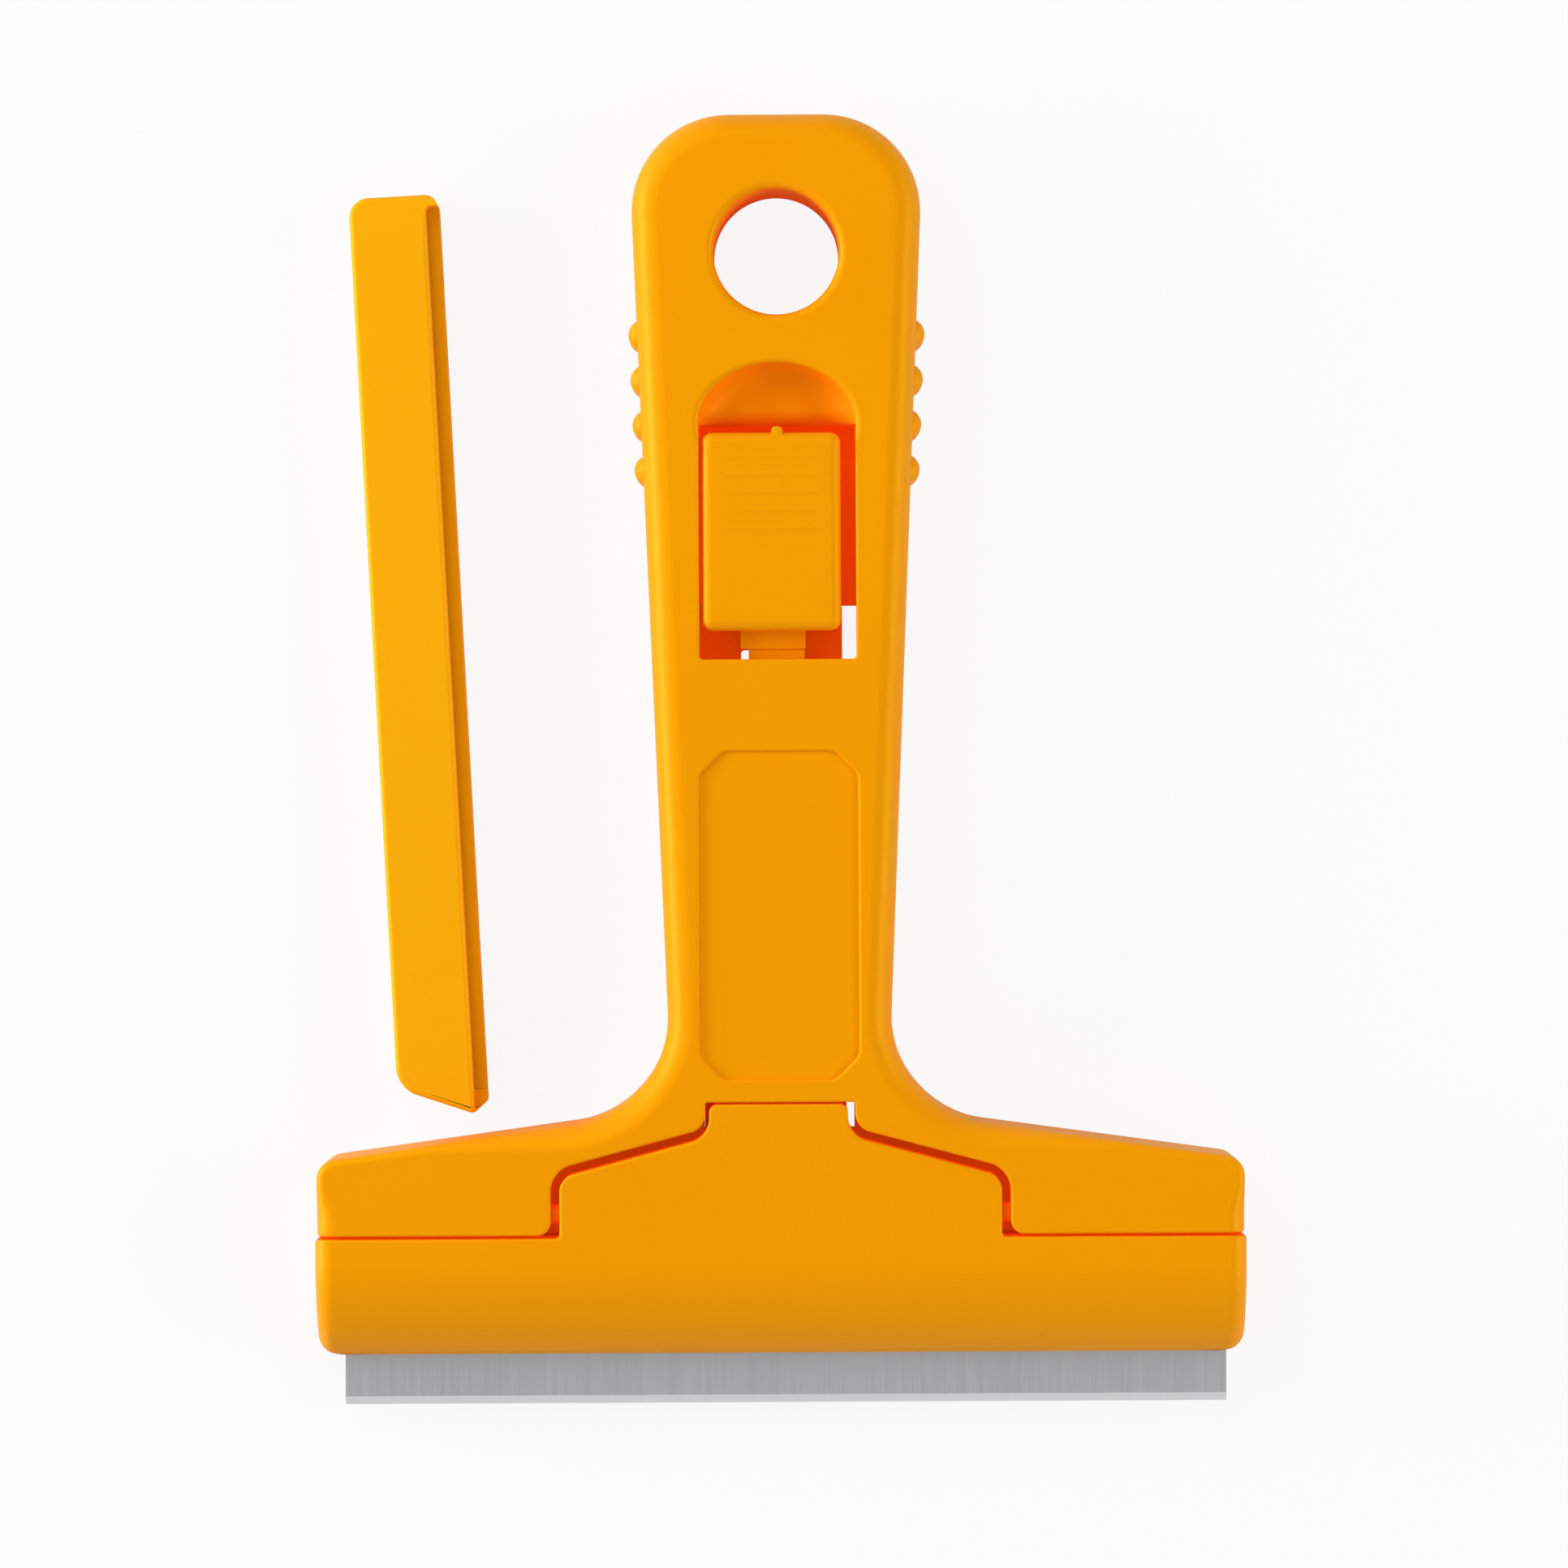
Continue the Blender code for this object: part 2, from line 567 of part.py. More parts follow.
def build_body():
    body = body_plate()
    join(body, grip_bumps())
    half_window = WINDOW_WIDTH / 2
    above = BODY_THICKNESS + PAST
    bevel_slope = BACK_BEVEL_DEPTH / BACK_BEVEL_LENGTH
    window = plate("window", rectangle(-half_window, half_window, WINDOW_BOTTOM, WINDOW_TOP),
                   BACK_WALL, above, cutters)
    half_channel = half_window + CARRIAGE_MARGIN
    channel = plate("slide_channel", rectangle(-half_channel, half_channel, LOWER_WALL_Y, UPPER_WALL_Y),
                    -PAST, SKIN_Z, cutters)
    panel = plate("front_panel", chamfered(PANEL_WIDTH / 2, PANEL_BOTTOM, PANEL_TOP, PANEL_CHAMFER,
                                           PANEL_CORNER),
                  BODY_THICKNESS - PANEL_DEPTH, above, cutters)
    end_core_bottom = WINDOW_TOP + END_CORE_WALL
    end_core = plate("end_core", rectangle(-half_window, half_window, end_core_bottom,
                                           end_core_bottom + END_CORE_LENGTH, END_CORE_CORNER),
                     -PAST, END_CORE_DEPTH, cutters)
    bed = plate("blade_bed", rectangle(-JAW_HALF_WIDTH - PAST, JAW_HALF_WIDTH + PAST, -PAST,
                                       BLADE_DEPTH + FIT_GAP),
                BACK_WALL, above, cutters)
    bay = plate("jaw_bay", bay_corners(), BLADE_TOP_Z, above, cutters)
    hollow = plate("tongue_hollow", hollow_corners(), BACK_WALL, above, cutters)
    socket_end = BLOCK_HALF_WIDTH + BLOCK_GAP + TRUNNION_REACH
    sockets = cross_rod("trunnion_sockets", PIVOT_Y, PIVOT_Z, TRUNNION_RADIUS + FIT_GAP,
                        -socket_end, socket_end, cutters)
    back_bevel = side_plate("back_bevel", [
        (BLADE_EXPOSED - PAST, -PAST, 0),
        (BLADE_EXPOSED + BACK_BEVEL_LENGTH + PAST / bevel_slope, -PAST, 0),
        (BLADE_EXPOSED - PAST, BACK_BEVEL_DEPTH + PAST * bevel_slope, 0),
    ], -JAW_HALF_WIDTH - PAST, JAW_HALF_WIDTH + PAST, cutters)
    cut(body, hang_hole(), window, thumb_scoop(), channel, panel, end_core)
    cut(body, bed, bay, hollow, sockets, back_bevel, *shoulder_pockets())
    smooth(body)
    return body


# Clamp jaw

def is_front_end(edge):
    # Edges along the front face at the ends of the side profile, whose own axes are the tool's Y, Z and X.
    def at_front(place):
        return place.y > BODY_THICKNESS - WELD or (place.y > LIP_Z and place.x < SEAM_Y - WELD)

    return float(lies_flat(edge) and all(at_front(vert.co) for vert in edge.verts))


def build_jaw():
    # The side profile is drawn deeper than the jaw, so that its ends can be rounded as far as the blade
    half = JAW_HALF_WIDTH
    above = TONGUE_TOP + PAST
    below = LIP_Z - 2 * JAW_END_ROUND
    nose = nose_arc(BLADE_EXPOSED - PAST, 0)
    jaw = side_plate("clamp_jaw", [(BLADE_EXPOSED - PAST, below, 0), (SEAM_Y, below, 0),
                                   (SEAM_Y, FOOT_Z, 0), (above, FOOT_Z, 0), (above, BODY_THICKNESS, 0)]
                     + nose[::-1], -half, half, parts)
    round_edges(jaw, JAW_END_ROUND, 4, is_front_end)
    outline = plate("jaw_outline", jaw_corners(), LIP_Z, BODY_THICKNESS + PAST, cutters)
    boolean(jaw, outline, "INTERSECT")
    round_edges(jaw, JAW_EDGE_ROUND, 2)

    # Pockets between the ribs under the wide bar
    lip_end = BLADE_EXPOSED + JAW_LIP
    wall_y = SEAM_Y - JAW_WALL
    ceiling = BODY_THICKNESS - JAW_SKIN
    rib_pitch = (2 * half - 2 * JAW_WALL + JAW_RIB) / (JAW_RIBS + 1)
    for index in range(JAW_RIBS + 1):
        left = -half + JAW_WALL + index * rib_pitch
        corners = [(lip_end, BLADE_Z, 0), (wall_y, BLADE_Z, 0), (wall_y, ceiling, 0)]
        pocket = side_plate(f"bar_pocket_{index}", corners + nose_arc(lip_end, JAW_SKIN)[::-1],
                            left, left + rib_pitch - JAW_RIB, cutters)
        cut(jaw, pocket)

    # The hollow under the block and the tongue leaves their outer walls and the rounding at their root
    inner_crown = crown_corners(-JAW_WALL, -JAW_WALL, -TAIL_WALL)
    block = mirrored([(BLOCK_HALF_WIDTH - JAW_WALL, SEAM_Y + 2 * JAW_EDGE_ROUND, 0)]
                     + [(x, y, POCKET_CORNER) for x, y, radius in inner_crown])
    cut(jaw, plate("block_pocket", block, BLADE_Z, ceiling, cutters))
    foot_half = TONGUE_HALF_WIDTH - TONGUE_ROUND
    join(jaw, cross_rod("tail_foot", FOOT_Y, FOOT_Z, FOOT_RADIUS, -foot_half, foot_half, cutters, 16))
    # Each trunnion starts in the middle of the block's side wall and ends in its socket
    trunnion_start = BLOCK_HALF_WIDTH - JAW_WALL / 2
    trunnion_end = BLOCK_HALF_WIDTH + BLOCK_GAP + TRUNNION_REACH - FIT_GAP
    for side, ends in (("left", (-trunnion_end, -trunnion_start)), ("right", (trunnion_start, trunnion_end))):
        join(jaw, cross_rod(f"trunnion_{side}", PIVOT_Y, PIVOT_Z, TRUNNION_RADIUS, *ends, cutters))
    smooth(jaw)
    return jaw


# Slider

def build_slider():
    half_knob = KNOB_WIDTH / 2
    half_carriage = half_knob + CARRIAGE_MARGIN
    ramp_end = FOOT_Y + PAD_RISE / CAM_SLOPE
    slider = side_plate("lock_slider", [
        (PAD_BOTTOM, CARRIAGE_Z, 0),
        (CARRIAGE_BOTTOM + PAST, CARRIAGE_Z, 0),
        (CARRIAGE_BOTTOM + PAST, CARRIAGE_TOP_Z, 0),
        (ramp_end, CARRIAGE_TOP_Z, 0),
        (FOOT_Y, PAD_Z, 0),
        (PAD_BOTTOM, PAD_Z, 0),
    ], -half_knob, half_knob, parts)
    # The carriage's shoulders stop against the end of the back wall when the slider is up
    carriage = plate("carriage", mirrored([
        (half_carriage, CARRIAGE_BOTTOM, KNOB_CORNER),
        (half_carriage, UPPER_WALL_Y - FIT_GAP, 0),
        (half_knob, UPPER_WALL_Y - FIT_GAP, 0),
        (half_knob, KNOB_TOP, KNOB_CORNER),
    ]), CARRIAGE_Z, CARRIAGE_TOP_Z, cutters)
    hole_half = CARRIAGE_HOLE_WIDTH / 2
    hole = plate("carriage_hole", rectangle(-hole_half, hole_half, CARRIAGE_BOTTOM + CARRIAGE_END_WALL,
                                            FINGER_STEP_Y),
                 0, CARRIAGE_TOP_Z + PAST, cutters)
    knob = plate("knob", rectangle(-half_knob, half_knob, KNOB_BOTTOM, KNOB_TOP, KNOB_CORNER),
                 CARRIAGE_Z + CARRIAGE_THICKNESS / 2, BODY_THICKNESS + KNOB_PROUD, cutters)
    round_edges(knob, KNOB_ROUND, 4, lambda edge: float(lies_flat(edge) and edge_middle(edge).z > 0))

    # The finger leaves the knob's lower end and bears on the underside of the front skin
    finger_top = SKIN_Z - FIT_GAP - FINGER_BUMP_RADIUS / 2
    finger_bottom = finger_top - FINGER_THICKNESS
    finger = plate("finger", [
        (FINGER_LEFT + FINGER_STEP, FINGER_BOTTOM, 0),
        (FINGER_RIGHT, FINGER_BOTTOM, 0),
        (FINGER_RIGHT, KNOB_BOTTOM + PAST, 0),
        (FINGER_LEFT, KNOB_BOTTOM + PAST, 0),
        (FINGER_LEFT, FINGER_STEP_Y, 0),
        (FINGER_LEFT + FINGER_STEP, FINGER_STEP_Y, 0),
    ], finger_bottom, finger_top, cutters)
    bump = cross_rod("finger_bump", FINGER_BOTTOM + 2 * FINGER_BUMP_RADIUS,
                     SKIN_Z - FIT_GAP - FINGER_BUMP_RADIUS, FINGER_BUMP_RADIUS,
                     FINGER_LEFT + FINGER_STEP + FIT_GAP, FINGER_RIGHT - FIT_GAP, cutters, 16)
    nub_half = NUB_WIDTH / 2
    nub = plate("knob_nub", rectangle(-nub_half - SLIDER_SHIFT, nub_half - SLIDER_SHIFT,
                                      KNOB_TOP - PAST, WINDOW_TOP - FIT_GAP),
                CARRIAGE_Z + CARRIAGE_THICKNESS / 2, BODY_THICKNESS + KNOB_PROUD - NUB_DROP, cutters)
    join(slider, carriage)
    cut(slider, hole)
    join(slider, knob, finger, bump, nub)
    smooth(slider)
    return slider


# Blade

def build_blade():
    half_edge = (BLADE_THICKNESS - BLADE_EDGE) / 2
    return side_plate("blade", [
        (0, BLADE_Z + half_edge, 0),
        (BLADE_GROUND, BLADE_Z, 0),
        (BLADE_DEPTH, BLADE_Z, 0),
        (BLADE_DEPTH, BLADE_TOP_Z, 0),
        (BLADE_GROUND, BLADE_TOP_Z, 0),
        (0, BLADE_TOP_Z - half_edge, 0),
    ], -BLADE_WIDTH / 2, BLADE_WIDTH / 2, parts)


# Blade guard

def build_guard():
    facet_across, facet_along = GUARD_FACET
    corners = [
        (0, GUARD_SLANT, GUARD_SLANT),
        (GUARD_BACK_LIP - facet_across, 0, 0),
        (GUARD_BACK_LIP, facet_along, 0),
        (GUARD_BACK_LIP, GUARD_LENGTH, 0),
        (0, GUARD_LENGTH, GUARD_TOP_CORNER),
    ]
    guard = plate("blade_guard", corners, 0, GUARD_THICKNESS, parts)
    rim = GUARD_BACK_LIP - GUARD_ROUND
    round_edges(guard, GUARD_ROUND, 3, lambda edge: float(lies_flat(edge) and edge_middle(edge).x < rim))
    slot_end = GUARD_LENGTH - GUARD_WALL
    middle = GUARD_THICKNESS / 2
    slot = plate("guard_slot", rectangle(GUARD_SPINE, GUARD_BACK_LIP + PAST, GUARD_SLOT_START, slot_end),
                 middle - GUARD_SLOT / 2, middle + GUARD_SLOT / 2, cutters)
    setback = plate("guard_setback", rectangle(GUARD_FRONT_LIP, GUARD_BACK_LIP + PAST,
                                               GUARD_SLOT_START, slot_end),
                    middle, GUARD_THICKNESS + PAST, cutters)
    cut(guard, slot, setback)
    smooth(guard)
    return guard


# Assembly

def new_empty(name, place, turn=0.0):
    empty = bpy.data.objects.new(name, None)
    empty.location = place
    empty.rotation_euler.z = turn
    empty.empty_display_size = 5 * MM
    parts.objects.link(empty)
    return empty


def hold(parent, *children):
    # Parents the children and keeps them where they are.
    bpy.context.view_layer.update()
    for child in children:
        child.parent = parent
        child.matrix_parent_inverse = parent.matrix_world.inverted()


def place_from(parent, *children):
    # Parents the children, whose own positions are then counted from the parent.
    for child in children:
        child.parent = parent


amber = plastic("amber_plastic", (0.91, 0.37, 0.005), 0.38)
amber_guard = plastic("amber_guard_plastic", (0.94, 0.42, 0.01), 0.40)
steel = principled("blade_steel", (0.36, 0.38, 0.41), 0.33, 1.0)

handle_body = build_body()
clamp_jaw = build_jaw()
lock_slider = build_slider()
scraper_blade = build_blade()
blade_guard = build_guard()

for piece, material in ((handle_body, amber), (clamp_jaw, amber), (lock_slider, amber),
                        (scraper_blade, steel), (blade_guard, amber_guard)):
    piece.data.materials.clear()
    piece.data.materials.append(material)

jaw_pivot = new_empty("jaw_pivot", (0, PIVOT_Y, PIVOT_Z))
slide_path = new_empty("slide_path", (SLIDER_SHIFT, 0, 0))
blade_seat = new_empty("blade_seat", (BLADE_SHIFT, 0, 0))
guard_tip_x = HEAD_HALF_WIDTH - GUARD_INSET
guard_tip = Vector((-guard_tip_x, shoulder_y(guard_tip_x) + GUARD_STANDOFF))
guard_corner = guard_tip - Matrix.Rotation(GUARD_TILT, 2) @ Vector((GUARD_BACK_LIP, 0))
guard_place = new_empty("guard_place", (*guard_corner, 0), GUARD_TILT)
tool = new_empty("tool", (0, 0, 0))

slider_tools = [cutter for cutter in cutters.objects
                if cutter.name.startswith(("carriage", "knob", "finger"))]
guard_tools = [cutter for cutter in cutters.objects if cutter.name.startswith("guard")]
body_tools = [cutter for cutter in cutters.objects if cutter not in slider_tools + guard_tools]
hold(jaw_pivot, clamp_jaw)
place_from(slide_path, lock_slider, *slider_tools)
place_from(blade_seat, scraper_blade)
place_from(guard_place, blade_guard, *guard_tools)
place_from(tool, handle_body, jaw_pivot, slide_path, blade_seat, guard_place, *body_tools)
tool.location.y = -OVERALL_LENGTH / 2
bpy.context.view_layer.update()
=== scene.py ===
from math import cos, pi, radians, sin, sqrt, tan

import bmesh
import bpy
from mathutils import Matrix, Vector


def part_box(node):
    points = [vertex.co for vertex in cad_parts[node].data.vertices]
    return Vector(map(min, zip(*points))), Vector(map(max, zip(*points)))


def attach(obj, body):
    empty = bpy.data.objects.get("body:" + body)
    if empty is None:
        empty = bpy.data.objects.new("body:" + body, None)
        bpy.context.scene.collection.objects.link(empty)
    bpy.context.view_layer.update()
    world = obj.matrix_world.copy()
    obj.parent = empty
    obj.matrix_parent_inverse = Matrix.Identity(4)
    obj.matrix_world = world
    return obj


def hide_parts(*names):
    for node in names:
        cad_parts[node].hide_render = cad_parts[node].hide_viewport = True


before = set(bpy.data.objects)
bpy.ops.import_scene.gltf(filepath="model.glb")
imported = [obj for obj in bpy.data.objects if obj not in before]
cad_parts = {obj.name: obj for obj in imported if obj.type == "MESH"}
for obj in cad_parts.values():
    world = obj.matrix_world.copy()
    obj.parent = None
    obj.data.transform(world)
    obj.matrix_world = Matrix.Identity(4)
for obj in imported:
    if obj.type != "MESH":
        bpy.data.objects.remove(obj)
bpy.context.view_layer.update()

# Everything is drawn in mm from the cutting edge and the centreline, then placed in the frame
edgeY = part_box("blade")[0].y
toFrame = Matrix.Translation((0, edgeY, 0)) @ Matrix.Scale(0.001, 4)
sideways = Matrix(((0, 0, 1, 0), (1, 0, 0, 0), (0, 1, 0, 0), (0, 0, 0, 1)))  # drawn in Y and Z, raised in X
gap = 0.3          # between pieces that seat on each other
past = 1.0         # how far a cutter runs past the face that it opens
tiny = 0.001       # under this, two places are the same
close = 0.01       # the same for corners that a Boolean may have moved a little
sharpAngle = radians(35)
outer, shallow, inner = 0, 1, 2  # material slots while a piece is cut: how far inside a wall lies, which sets its painted gap shade and emission


# Drawing tools

def otherSide(corners):
    return [(-x, y, radius) for x, y, radius in reversed(corners)]


def mirrored(rightSide):
    return rightSide + otherSide(rightSide)


def rectangle(left, right, bottom, top, radius=0):
    return [(left, bottom, radius), (right, bottom, radius), (right, top, radius), (left, top, radius)]


def roundCorner(bm, vert, radius, facet=4):
    # Replaces a corner of a flat outline by an arc
    arms = [(edge.other_vert(vert).co - vert.co).normalized() for edge in vert.link_edges]
    halfAngle = arms[0].angle(arms[1]) / 2
    turn = pi - 2 * halfAngle
    shortest = 0.08                                # length of a facet
    steps = max(3, round(min(turn / radians(facet), turn * radius / shortest)))
    bmesh.ops.bevel(bm, geom=[vert], offset=radius / tan(halfAngle), offset_type="OFFSET",
                    segments=steps, profile=0.5, affect="VERTICES", clamp_overlap=False, material=-1)


def raised(corners, low, high, facet=4):
    # A flat outline of (x, y, radius) corners, raised from low to high
    bm = bmesh.new()
    verts = [bm.verts.new((x, y, low)) for x, y, radius in corners]
    bm.faces.new(verts)
    for vert, corner in zip(verts, corners):
        if corner[2]:
            roundCorner(bm, vert, corner[2], facet)
    moved = bmesh.ops.extrude_face_region(bm, geom=bm.faces[:])["geom"]
    bmesh.ops.translate(bm, verts=[part for part in moved if isinstance(part, bmesh.types.BMVert)],
                        vec=(0, 0, high - low))
    bmesh.ops.recalc_face_normals(bm, faces=bm.faces)
    return bm


def raisedSideways(corners, left, right, facet=4):
    bm = raised(corners, left, right, facet)
    bmesh.ops.transform(bm, matrix=sideways, verts=bm.verts)
    return bm


def rod(y, z, radius, left, right, sides=48):
    # A round rod across the tool
    bm = bmesh.new()
    bmesh.ops.create_cone(bm, cap_ends=True, segments=sides, radius1=radius, radius2=radius, depth=right - left)
    bmesh.ops.transform(bm, matrix=sideways @ Matrix.Translation((y, z, (left + right) / 2)), verts=bm.verts)
    return bm


def cutAcross(bm, places):
    # Adds rows of edges across the tool
    for y in places:
        bmesh.ops.bisect_plane(bm, geom=bm.verts[:] + bm.edges[:] + bm.faces[:], dist=0.00001,
                               plane_co=(0, y, 0), plane_no=(0, 1, 0))


def roundEdges(bm, edges, radius, segments):
    bmesh.ops.bevel(bm, geom=edges, offset=radius, offset_type="OFFSET", segments=segments, profile=0.5,
                    affect="EDGES", clamp_overlap=False, material=-1)


def roundTop(bm, top, radius, segments):
    rim = [edge for edge in bm.edges if liesFlat(edge) and middle(edge).z > top - close]
    roundEdges(bm, rim, radius, segments)


def solid(name, bm):
    mesh = bpy.data.meshes.new(name)
    for slot in (outer, shallow, inner):
        mesh.materials.append(None)
    bm.to_mesh(mesh)
    bm.free()
    made = bpy.data.objects.new(name, mesh)
    bpy.context.scene.collection.objects.link(made)
    return made


def applyModifiers(piece):
    bpy.context.view_layer.update()
    finished = bpy.data.meshes.new_from_object(piece.evaluated_get(bpy.context.evaluated_depsgraph_get()))
    old = piece.data
    piece.modifiers.clear()
    piece.data = finished
    bpy.data.meshes.remove(old)
    finished.name = piece.name


def combine(piece, operation, *shapes, side=outer):
    # Booleans with shapes that are used up, and whose faces come out as the given side
    helpers = []
    for shape in shapes:
        for face in shape.faces:
            face.material_index = max(face.material_index, side)
        helper = solid("helper", shape)
        modifier = piece.modifiers.new("combine", "BOOLEAN")
        modifier.operation = operation
        modifier.solver = "EXACT"
        modifier.object = helper
        helpers.append(helper)
    applyModifiers(piece)
    for helper in helpers:
        mesh = helper.data
        bpy.data.objects.remove(helper, do_unlink=True)
        bpy.data.meshes.remove(mesh)


def middle(edge):
    return (edge.verts[0].co + edge.verts[1].co) / 2


def between(low, high, value):
    return min(max((value - low) / (high - low), 0.0), 1.0)


def mix(first, second, share):
    return first + (second - first) * share


def liesFlat(edge):
    return abs(edge.verts[0].co.z - edge.verts[1].co.z) < tiny


def isSharp(edge):
    return len(edge.link_faces) == 2 and edge.calc_face_angle() > sharpAngle


def cleaned(piece):
    # The piece's mesh without the slivers that Booleans leave
    closer = 0.004
    bm = bmesh.new()
    bm.from_mesh(piece.data)
    bmesh.ops.remove_doubles(bm, verts=bm.verts, dist=closer)
    bmesh.ops.dissolve_degenerate(bm, dist=closer / 2, edges=bm.edges)
    return bm


def roundByWeight(piece, width, segments, weightOf):
    # A Bevel modifier whose width follows weightOf(edge)
    bm = cleaned(piece)
    layers = bm.edges.layers.float
    layer = layers.get("bevel_weight_edge") or layers.new("bevel_weight_edge")
    for edge in bm.edges:
        edge[layer] = weightOf(edge) if isSharp(edge) else 0.0
    bm.to_mesh(piece.data)
    bm.free()
    modifier = piece.modifiers.new("round", "BEVEL")
    modifier.width = width
    modifier.segments = segments
    modifier.limit_method = "WEIGHT"
    modifier.use_clamp_overlap = False
    applyModifiers(piece)


def soften(piece, radius, segments, wanted=lambda edge: True):
    # Rounds the sharp edges for which wanted(edge) is true
    bm = cleaned(piece)
    roundEdges(bm, [edge for edge in bm.edges if isSharp(edge) and wanted(edge)], radius, segments)
    bm.to_mesh(piece.data)
    bm.free()


def finishPiece(piece, material, body, slot, *nodes):
    piece.data.transform(toFrame)
    # The slots become the face attribute inside, which places the painted gap shade and emission
    inside = [face.material_index / inner for face in piece.data.polygons]
    piece.data.materials.clear()
    piece.data.materials.append(material)
    piece.data.polygons.foreach_set("material_index", [0] * len(inside))
    piece.data.attributes.new("inside", "FLOAT", "FACE").data.foreach_set("value", inside)
    piece.data.shade_smooth()
    piece.data.set_sharp_from_angle(angle=sharpAngle)
    normals = piece.modifiers.new("evenShading", "WEIGHTED_NORMAL")
    normals.keep_sharp = True
    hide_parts(*nodes)
    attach(piece, body)
    print(f"{piece.name}: {len(piece.data.polygons)} faces")


# Finishes

class Shade:
    # Wraps a socket, so that a sum written with it adds Math nodes
    def __init__(self, finish, socket):
        self.finish = finish
        self.socket = socket

    def math(self, operation, first, second):
        return self.finish.node("ShaderNodeMath", {"operation": operation}, {0: first, 1: second})

    def __add__(self, other):
        return self.math("ADD", self, other)

    def __sub__(self, other):
        return self.math("SUBTRACT", self, other)

    def __rsub__(self, other):
        return self.math("SUBTRACT", other, self)

    def __mul__(self, other):
        return self.math("MULTIPLY", self, other)

    def __gt__(self, other):
        return self.math("GREATER_THAN", self, other)

    def __lt__(self, other):
        return self.math("LESS_THAN", self, other)

    def held(self):                                # kept between 0 and 1
        return self.finish.node("ShaderNodeClamp", {}, {"Value": self})

    __radd__ = __add__


class Finish:
    def __init__(self, name):
        self.material = bpy.data.materials.new(name)
        self.material.use_nodes = True
        self.tree = self.material.node_tree
        self.tree.nodes.clear()
        self.place = self.node("ShaderNodeTexCoord", output="Object")

    def node(self, kind, settings=None, inputs=None, output=0):
        made = self.tree.nodes.new(kind)
        for name, value in (settings or {}).items():
            setattr(made, name, value)
        for name, value in (inputs or {}).items():
            if isinstance(value, Shade):
                self.tree.links.new(value.socket, made.inputs[name])
            else:
                made.inputs[name].default_value = value
        return Shade(self, made.outputs[output]) if len(made.outputs) else None

    def blend(self, factor, first, second):
        return self.node("ShaderNodeMix", {"data_type": "RGBA"}, {0: factor, 6: first, 7: second}, 2)

    def noise(self, scale, detail=2, roughness=0.5, stretch=None):
        place = self.place
        if stretch:
            place = self.node("ShaderNodeMapping", {}, {"Vector": place, "Scale": stretch})
        return self.node("ShaderNodeTexNoise", {},
                         {"Vector": place, "Scale": scale, "Detail": detail, "Roughness": roughness}, "Fac")

    def bump(self, height, distance, strength=1.0):
        return self.node("ShaderNodeBump", {}, {"Height": height, "Distance": distance, "Strength": strength})

    def surface(self, inputs):
        shader = self.node("ShaderNodeBsdfPrincipled", {}, inputs)
        self.node("ShaderNodeOutputMaterial", {}, {"Surface": shader})
        return self.material


def amberPlastic(name, colour, thicker):
    finish = Finish(name)
    flow = finish.noise(38, 3, 0.55)               # melt flow, a few cm across
    speckle = finish.noise(900, 3, 0.6)            # pigment
    grain = finish.noise(2600, 3, 0.65)            # eroded mould surface
    handling = finish.noise(240, 4, 0.7)           # where it has been rubbed
    hairlines = finish.noise(1.0, 3, 0.6, (2400, 90, 700)) > 0.66
    height = finish.node("ShaderNodeSeparateXYZ", {}, {"Vector": finish.place}, "Z")
    # Painted shade: faces marked as lying inside an opening are painted redder, more so below the front face
    # and the scoop floor
    inside = finish.node("ShaderNodeAttribute", {"attribute_name": "inside"}, {}, "Fac")
    belowFront, belowScoop = [((level - height) * (1 / plastic["fade"])).held() for level in plastic["levels"]]
    paintedGapShade = inside * (belowFront + belowScoop * 0.6)
    shade = flow * 0.7 + speckle * 0.3
    return finish.surface({
        "Base Color": finish.blend(paintedGapShade, finish.blend(shade, thicker, colour), plastic["paintedGapShade"]),
        "Roughness": plastic["roughness"] + (handling - 0.5) * 0.16 + (grain - 0.5) * 0.10 - hairlines * 0.03,
        "Specular IOR Level": 0.5,
        "Specular Tint": plastic["sheen"],
        # Painted emission in the openings, though the plastic is no lamp
        "Emission Color": finish.blend(paintedGapShade * paintedGapShade, (0, 0, 0, 1), plastic["paintedGapGlow"]),
        "Emission Strength": 1.0,
        "Normal": finish.bump(grain * 0.7 + speckle * 0.3, 0.00003, 0.5),
    })


def brushedSteel(name):
    finish = Finish(name)
    lines = finish.noise(1.0, 4, 0.65, (5200, 60, 300))
    broad = finish.noise(1.0, 3, 0.6, (900, 25, 100))
    across = finish.node("ShaderNodeSeparateXYZ", {}, {"Vector": finish.place}, "Y")
    ground = across < edgeY + blade["ground"] / 1000
    streaks = lines * 0.65 + broad * 0.35
    brushed = finish.blend(streaks, (0.25, 0.255, 0.265, 1), (0.43, 0.435, 0.445, 1))
    return finish.surface({
        "Base Color": finish.blend(ground, brushed, (0.55, 0.555, 0.56, 1)),
        "Metallic": 1.0,
        "Roughness": 0.30 + streaks * 0.22 - ground * 0.08,
        "Normal": finish.bump(streaks, 0.00001, 0.35),
    })


# Painted light: the walls of the openings get a painted red-orange shade and a faint painted emission towards
# the back, standing in for the light that soaks through the amber plastic and bounces between its walls.
# The first level is the front face, and the second the floor of the thumb scoop.
plastic = {
    "levels": (0.012, 0.0084), "fade": 0.0015, "paintedGapShade": (1.0, 0.18, 0.001, 1), "paintedGapGlow": (0.14, 0.022, 0.0, 1),
    "roughness": 0.42, "sheen": (1, 0.62, 0.0, 1),
}
amber = amberPlastic("amberPlastic", (0.96, 0.36, 0.001, 1), (0.93, 0.32, 0.001, 1))
amberGuard = amberPlastic("amberGuardPlastic", (0.97, 0.43, 0.004, 1), (0.94, 0.395, 0.003, 1))
print("plastics made")


# Shapes that the handle and the jaw share

